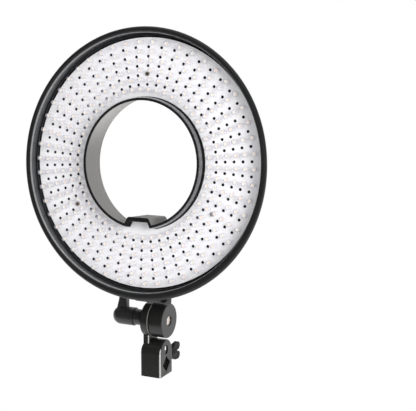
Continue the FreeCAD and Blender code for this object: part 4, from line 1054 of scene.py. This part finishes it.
@dataclass
class HoleTrim(Assembly):
    """The grey centre tube and the black skirt on its front, both folded round the cable channel.

    The radii are those of the skirt's corners, from the lip's inner corner at the back, by way of its front
    and the groove, to the foot and back.
    """

    tube_steps: int = 4
    skirt_steps: int = 5
    edge: float = 0.45
    radii: tuple[float, ...] = (0.3, 0.9, 1.1, 0.1, 0.1, 0.2, 0.3, 0.15)
    groove_place: float = 0.57
    groove_width: float = 0.3
    wall_rows: tuple[int, int] = (17, 18)
    foot_rows: tuple[int, int] = (18, 30)
    key_drop: float = 2.4
    key_faces: int = 22

    def tube(self) -> Shape:
        """The tube: a thin wall with rounded ends, which widens towards the back.

        Returns:
            Its shape.
        """
        ends = (-RING.tube_front, RING.shell_depth)
        corners = [(ends[0], 0), (ends[1], 0), (ends[1], RING.tube_wall), (ends[0], RING.tube_wall)]
        profile = rounded(np.column_stack([corners, [self.edge] * len(corners)]), self.tube_steps)
        first = 2 * RING.fit_gap
        return RING.keyed_ring(profile, RING.tube_radius, RING.flare(), first + RING.tube_wall, first)

    def skirt(self) -> Shape:
        """The skirt: a domed lip over the tube's end, and a wall that runs from its rim down to the board.

        Returns:
            Its shape.
        """
        front = -RING.tube_front - RING.lip_thickness - RING.fit_gap / 2
        back = front + RING.lip_thickness
        foot = -RING.fit_gap / 2
        lip_inner = RING.tube_radius - RING.lip_overhang
        tube_here = RING.tube_radius + RING.flare() * RING.tube_front
        outer = tube_here + RING.tube_wall + RING.fit_gap + RING.skirt_wall - lip_inner
        sleeve = RING.tube_wall + RING.fit_gap + RING.lip_overhang
        groove = front + self.groove_place * (foot - front)
        across = RING.lip_width + self.groove_place * (outer - RING.lip_width)
        corners = [(back, 0), (front, 0), (front, RING.lip_width), (groove, across),
                   (groove + self.groove_width, across - self.groove_width),
                   (foot, outer - self.groove_width), (foot, outer - RING.skirt_wall), (back, sleeve)]
        profile = rounded(np.column_stack([corners, self.radii]), self.skirt_steps)
        key_depth = 3 * RING.fit_gap + RING.tube_wall + RING.skirt_wall
        return RING.keyed_ring(profile, lip_inner, 0, key_depth, 0, self.key_drop)

    def build(self) -> None:
        """Make both rings."""
        self.add("Centre_tube", self.tube(), TUBE, "head", "centre_tube")
        skirt = self.add("Hole_skirt", self.skirt(), TRIM, "head", "hole_skirt")
        columns = RING.keyed_columns()
        # The cone wall takes a painted reflection.
        self.paint(skirt, TRIM_WALL_REFLECTION, columns, self.wall_rows)
        # The groove, and the wall in the channel, take painted shade.
        self.paint(skirt, TRIM_GROOVE_SHADE, columns, self.foot_rows)
        self.paint(skirt, TRIM_GROOVE_SHADE, columns, self.wall_rows, self.key_faces)


@dataclass
class LightBoard(Assembly):
    """The white board with its LEDs, vent holes and screws."""

    lens_sides: int = 14
    lens_lift: float = 0.05
    flange_step: float = 0.2
    flange_height: float = 1.0
    flange_slope: float = 0.1
    dome_angles: tuple[float, ...] = (0, 30, 56, 78)
    chip_sides: int = 8
    chip_foot: float = 0.9
    chip_radius: float = 1.9
    chip_depth: float = -7.2
    lead_depth: float = -0.4
    lead_radius: float = 0.25
    neck_height: float = 1.4
    neck_radius: float = 0.3
    collar_height: float = 0.8
    collar_radius: float = 0.8
    cup_radius: float = 2.5
    cup_wall: float = 0.2
    cup_bottom: float = 1.0
    cup_floor: float = -6.4
    cup_top: float = -7.4
    vent_sides: int = 12
    vent_height: float = 0.04
    vent_rings: int = 5
    screw_ring: int = 1

    def lens(self) -> Shape:
        """One LED: a flange, a straight body and a half-round dome.

        Returns:
            Its shape.
        """
        top, body = self.flange_height, RING.led_radius - self.flange_step
        angle = np.radians(self.dome_angles)
        arch = np.stack([-(RING.led_height - body) - body * np.sin(angle), body * np.cos(angle)], axis=1)
        base = [(-self.lens_lift, RING.led_radius), (-top, RING.led_radius), (-top - self.flange_slope, body)]
        return turned(np.vstack([base, arch]), self.lens_sides, False)

    def chip(self) -> Shape:
        """The phosphor in the bottom of its reflector cup."""
        profile = np.array([(self.cup_floor, self.chip_foot), (self.chip_depth, self.chip_radius)])
        return turned(profile, self.chip_sides, False)

    def cup(self) -> Shape:
        """The reflector cup on the LED's lead: a short cone that opens to the front.

        Returns:
            Its shape.
        """
        top, floor = self.cup_top, self.cup_floor
        profile = np.array([(self.lead_depth, self.lead_radius), (floor + self.neck_height, self.neck_radius),
                            (floor + self.collar_height, self.collar_radius), (top, self.cup_radius),
                            (top, self.cup_radius - self.cup_wall), (floor, self.cup_bottom)])
        return turned(profile, self.chip_sides, False)

    def vents(self) -> Shape:
        """Dark discs between the rings, the painted shade of the vent holes, but for those whose place a
        screw takes.

        Returns:
            All of them as one shape.
        """
        wall = np.array([(0.0, RING.dot_radius), (-self.vent_height, RING.dot_radius)])
        count = RING.leds_per_ring
        step, ring = np.meshgrid(np.arange(count), np.arange(self.vent_rings))
        step, ring = step.ravel(), ring.ravel()
        free = ~((ring == self.screw_ring) & np.isin(step, (0, round(count / 3), round(count * 2 / 3))))
        radii = RING.dot_inner + ring[free] * RING.led_pitch
        places = on_circle(radii, 90 + step[free] * 360 / count)
        return turned(wall, self.vent_sides, False).repeated(places)

    def build(self) -> None:
        """Dress the board, and make the LEDs, which stand midway between the vents, and the vents."""
        self.dress(BOARD, "led_board")
        self.dress(ALUMINIUM, "heat_spreader")
        angles = 90 + (np.arange(RING.leds_per_ring) + 0.5) * 360 / RING.leds_per_ring
        for ring in range(RING.led_rings):
            number = ring + 1
            places = on_circle(RING.led_inner + ring * RING.led_pitch, angles)
            self.add(f"LED_lenses_{number}", self.lens().repeated(places), LENS, "head", f"led_ring_{number}")
            self.add(f"LED_cups_{number}", self.cup().repeated(places), CUP, "head")
            self.add(f"LED_chips_{number}", self.chip().repeated(places), PHOSPHOR, "head")
        # The vents are dark discs: the painted shade of the holes.
        self.add("Board_vent_shade", self.vents(), VENT_SHADE, "head")


class Drive(Enum):
    """What a screw is turned by."""

    CROSS = "cross recess"
    HEXAGON = "hexagon socket"


@dataclass(frozen=True)
class ScrewHeads:
    """The driven ends of one kind of screw: where they are, how deep and wide, and the side they face."""

    name: str
    drive: Drive
    places: np.ndarray
    depth: float
    size: float
    rear: bool = True
    proud: float = 0.04
    arm_share: float = 0.45

    def shape(self) -> Shape:
        """Painted shade of the recesses: dark crosses or hexagons on the heads' faces, one for each place.

        Returns:
            All of them as one shape.
        """
        outline = self.size * on_circle(1.0, np.arange(0, 360, 60))[:, [0, 2]]
        if self.drive is Drive.CROSS:
            outline = cross_outline(self.size, self.size * self.arm_share)
        outer = self.depth + (self.proud if self.rear else -self.proud)
        return prism(outline, self.depth, outer).repeated(self.places)


@dataclass
class Fasteners(Assembly):
    """Screws, nuts and posts, as packed, with painted shade in the recesses of their heads."""

    board_circle: float = 115.56
    board_screws: tuple[float, ...] = (90, -30.8, -149.2)
    housing_circle: float = 140.0
    housing_screws: tuple[float, ...] = (0, 60, 120, 180, 240, 300)
    plate_screws: tuple[Point, ...] = ((-18, 0, -143), (18, 0, -143), (-18, 0, -124), (18, 0, -124))
    flange_screws: tuple[Point, ...] = ((-17, 0, -181.5), (17, 0, -181.5))

    def heads(self) -> tuple[ScrewHeads, ...]:
        """List the kinds of screw heads.

        Returns:
            One entry for each kind.
        """
        board = on_circle(self.board_circle, self.board_screws)
        housing = on_circle(self.housing_circle, self.housing_screws)
        plate, flange = np.array(self.plate_screws), np.array(self.flange_screws)
        return (ScrewHeads("Board_screw_recess_shade", Drive.CROSS, board, -1.8, 1.4, rear=False),
                ScrewHeads("Housing_screw_recess_shade", Drive.CROSS, housing, 38.8, 1.5),
                ScrewHeads("Plate_screw_socket_shade", Drive.HEXAGON, plate, 41.6, 1.9),
                ScrewHeads("Flange_screw_socket_shade", Drive.HEXAGON, flange, 34.2, 1.9, rear=False))

    def build(self) -> None:
        """Dress the fasteners and lay painted shade in the recesses of their heads."""
        for kind in self.heads():
            # Dark marks on the heads: the painted shade of the recesses.
            self.add(kind.name, kind.shape(), RECESS_SHADE, "head")
        self.dress(SCREW, "board_screws")
        self.dress(ZINC, "board_nuts", "spacer_posts", "driver_screws")
        self.dress(BLACK_STEEL, "shell_screws", "plate_screws", "flange_screws")


@dataclass
class Electronics(Assembly):
    """Driver, controls and inlet.

    The knob's fillet and crown hold distances from its flange or its end, and from the side of its grip.
    """

    knob_place: tuple[float, float] = (92.15, -82.97)
    knob_start: float = 40.9
    knob_end: float = 54.4
    knob_radius: float = 9.0
    knob_top: float = 6.9
    knob_flutes: int = 24
    flute_steps: int = 8
    flute_depth: float = 0.05
    flange_thickness: float = 1.6
    flange_edge: float = 0.4
    fillet: tuple[float, float] = (0.7, 0.6)
    crown: tuple[tuple[float, float], ...] = ((1.0, 0.1), (0.5, 0.25), (0.1, 0.7), (0.0, 1.3))
    crown_flat: float = 3.0
    pointer_width: float = 0.9
    pointer_start: float = 1.0
    pointer_margin: float = 1.6
    pointer_sunk: float = 0.2
    pointer_proud: float = 0.04

    def flutes(self, angle: np.ndarray) -> np.ndarray:
        """How much the grip's radius falls at each angle: with the cosine of the angle times the flutes."""
        return -self.flute_depth * (0.5 + 0.5 * np.cos(angle * self.knob_flutes))

    def knob(self) -> Shape:
        """The dimmer knob: a flange, and a tapered grip with flutes.

        Returns:
            Its shape.
        """
        start, wide, edge = self.knob_start, self.knob_radius, self.flange_edge
        back = start + self.flange_thickness
        fillet = (back + self.fillet[0], self.knob_top + self.fillet[1])
        flange = np.array([(start, wide - edge), (start + edge, wide), (back, wide),
                           (back + edge, wide - edge), fillet])
        crown = np.array([self.knob_end, self.knob_top]) - np.array(self.crown)
        grip = np.vstack([flange[-1:], crown, [(self.knob_end, self.crown_flat)]])
        segments = self.knob_flutes * self.flute_steps
        whole = turned(flange, segments, False).joined(turned(grip, segments, False, self.flutes))
        return whole.repeated(np.array([[self.knob_place[0], 0.0, self.knob_place[1]]]))

    def pointer(self) -> Shape:
        """The pale line on the knob's end, from its middle to its edge.

        Returns:
            Its shape.
        """
        half, low, high = self.pointer_width / 2, self.pointer_start, self.knob_top - self.pointer_margin
        outline = np.array([(-half, low), (half, low), (half, high), (-half, high)]) + self.knob_place
        return prism(outline, self.knob_end - self.pointer_sunk, self.knob_end + self.pointer_proud)

    def build(self) -> None:
        """Dress what is behind the board and soften the controls on the back."""
        self.dress(CIRCUIT, "driver_board")
        self.dress(COMPONENT, "driver_capacitors", "driver_inductor", "dimmer_pot")
        self.dress(ALUMINIUM, "driver_heatsink")
        self.dress(ZINC, "dimmer_shaft")
        self.soften("power_inlet", "Power_inlet", "head", COMPONENT, 0.3)
        self.soften("power_switch", "Switch_bezel", "head", CONTROL, 0.35)
        self.soften("power_rocker", "Switch_rocker", "rocker", CONTROL, 0.3)
        self.add("Dimmer_knob", self.knob(), CONTROL, "dimmer", "dimmer_knob")
        self.add("Dimmer_pointer", self.pointer(), POINTER, "dimmer")


@dataclass
class Bracket(Assembly):
    """The plate, both halves of the tilt joint, the clamp lever and the wing screw."""

    # Edges that take a painted highlight on the faces that look towards the light; the last block edge takes
    # a dimmer one.
    neck_edge: HighlightEdge = HighlightEdge((13.5, -2.5, 99), (15.5, 2.5, 128), (0.7, -0.7, 0), 1.0)
    block_edges: tuple[HighlightEdge, ...] = (
        HighlightEdge((12, -19, 0.2), (16, -15, 44), (0.7, -0.7, 0)),
        HighlightEdge((-6, -13.5, 44), (-4, -11.5, 60), (0.7, -0.7, 0), 1.2),
        HighlightEdge((-2.7, -26, 50), (-1.55, 3, 102), (0.7, -0.7, 0), 0.0, 47, 2),
    )

    def build(self) -> None:
        """Soften the castings and the handles, and dress the small pieces."""
        self.soften("bracket_plate", "Bracket_plate", "head", PLATE, 0.3)
        # The neck and the block take painted highlights on their edges.
        self.soften("tilt_bracket", "Tilt_bracket", "head", CAST, 0.5, self.neck_edge)
        self.soften("tilt_bolt", "Tilt_bolt", "head", BOLT, 0.3)
        self.soften("stand_block", "Stand_block", "stand", CAST, 0.6, *self.block_edges)
        self.soften("wing_knob", "Wing_knob", "wing", WING, 0.6)
        self.soften("lever_handle", "Lever_handle", "lever", HANDLE, 0.8)
        self.soften("lever_collar", "Lever_collar", "lever", HANDLE, 0.4)
        self.dress(ALUMINIUM, "backing_plate")
        self.dress(WASHER, "friction_washer")
        self.dress(BRASS, "thread_insert", "clamp_pad")
        self.dress(ZINC, "wing_screw", "lever_nut")


@dataclass
class Studio:
    """White surroundings, a soft lamp and the camera at the photograph's angle, in metres."""

    target: Point = (0.078358, -0.001798, 0.238651)
    eye: Point = (0.590113, -1.120692, 0.438889)
    lens: float = 83.148
    sensor: float = 36.0
    ambient: float = 0.7
    room: float = 0.12
    behind: tuple[float, float] = (0.35, 0.85)
    overhead: tuple[float, float] = (0.6, 0.95)
    overhead_share: float = 0.6
    glow: float = 1.02
    glow_share: float = 0.95
    paper: float = 0.92
    floor_height: float = -0.6
    floor_size: float = 80.0
    floor_start: float = -1.2
    lamp_place: Point = (1.62, -0.9, 0.75)
    lamp_side: float = 1.0
    lamp_power: float = 39.0

    def rays(self, recipe: Recipe) -> tuple[Value, Value]:
        """Tell the kinds of rays apart.

        Args:
            recipe: The tree to add to.

        Returns:
            1 for rays that run straight from the eye or through clear stuff, and 1 for mirrored rays.
        """
        path = recipe.node("ShaderNodeLightPath", {}, {}).outputs
        straight = Value(recipe, path["Is Camera Ray"]).greatest(Value(recipe, path["Is Transmission Ray"]))
        return straight, Value(recipe, path["Is Glossy Ray"])

    def world(self) -> None:
        """White where it is seen or mirrored from behind, dim where the room is mirrored, soft as a light."""
        world = bpy.data.worlds.new("White studio")
        bpy.context.scene.world = world
        recipe = Recipe(world)
        way = recipe.node("ShaderNodeTexCoord", {}, {}).outputs["Generated"]
        _, back, above = recipe.parts(way)
        mirrored = self.room + back.between(*self.behind) * (1 - self.room)
        mirrored = mirrored + above.between(*self.overhead) * self.overhead_share
        straight, mirror = self.rays(recipe)
        glossy = mirror * (1 - straight)
        strength = straight + glossy * mirrored + (1 - straight.greatest(glossy)) * self.ambient
        shader = recipe.node("ShaderNodeBackground", {}, {"Color": WHITE, "Strength": strength}).outputs[0]
        recipe.output(shader, "ShaderNodeOutputWorld")

    def floor(self) -> None:
        """A pale floor well below the light, white where it is seen, that keeps a shadow."""
        half, far, start, height = self.floor_size / 2, self.floor_size, self.floor_start, self.floor_height
        corners = [(-half, start, height), (half, start, height), (half, far, height), (-half, far, height)]
        mesh = bpy.data.meshes.new("Studio_floor")
        mesh.from_pydata(corners, [], [(0, 1, 2, 3)])
        material = bpy.data.materials.new("Studio_floor")
        recipe = Recipe(material)
        straight, mirror = self.rays(recipe)
        seen = straight.greatest(mirror) * self.glow_share
        paper = recipe.node("ShaderNodeBsdfDiffuse", {}, {"Color": shade((self.paper,) * 3)}).outputs[0]
        glow = recipe.node("ShaderNodeEmission", {}, {"Color": WHITE, "Strength": self.glow}).outputs[0]
        recipe.output(recipe.node("ShaderNodeMixShader", {}, {0: seen, 1: paper, 2: glow}).outputs[0])
        mesh.materials.append(material)
        floor = in_scene("Studio_floor", mesh)

    def aimed(self, name: str, data: bpy.types.ID, place: Point) -> bpy.types.Object:
        """Stand a lamp or camera at a place, facing the middle of the light.

        Args:
            name: Its name.
            data: The lamp or camera.
            place: Where it stands.

        Returns:
            Its object.
        """
        item = in_scene(name, data)
        item.location = place
        item.rotation_euler = (Vector(self.target) - Vector(place)).to_track_quat("-Z", "Y").to_euler()
        return item

    def lamp(self) -> None:
        """Add a square soft lamp that shows in no mirror."""
        light = bpy.data.lights.new("Key_lamp", "AREA")
        light.shape = "SQUARE"
        light.size = self.lamp_side
        light.energy = self.lamp_power
        lamp = self.aimed("Key_lamp", light, self.lamp_place)
        lamp.visible_glossy = False

    def camera(self) -> None:
        """Set the camera where the photograph was taken from."""
        camera = bpy.data.cameras.new("Camera")
        camera.lens = self.lens
        camera.sensor_width = self.sensor
        camera.clip_start = 0.01
        camera.clip_end = 50
        bpy.context.scene.camera = self.aimed("Camera", camera, self.eye)

    def build(self) -> None:
        """Make the surroundings."""
        bpy.context.scene.view_settings.view_transform = "Standard"
        self.world()
        self.floor()
        self.lamp()
        self.camera()


def main() -> None:
    """Build the surroundings, then every sub-assembly, and report each."""
    logging.basicConfig(level=logging.INFO, format="%(message)s")
    Studio().build()
    palette = Palette()
    for kind in (Rim, HoleTrim, LightBoard, Fasteners, Electronics, Bracket):
        log.info("Building %s", kind.__name__)
        kind(palette).build()
    bpy.context.view_layer.update()


if __name__ == "__main__":
    main()
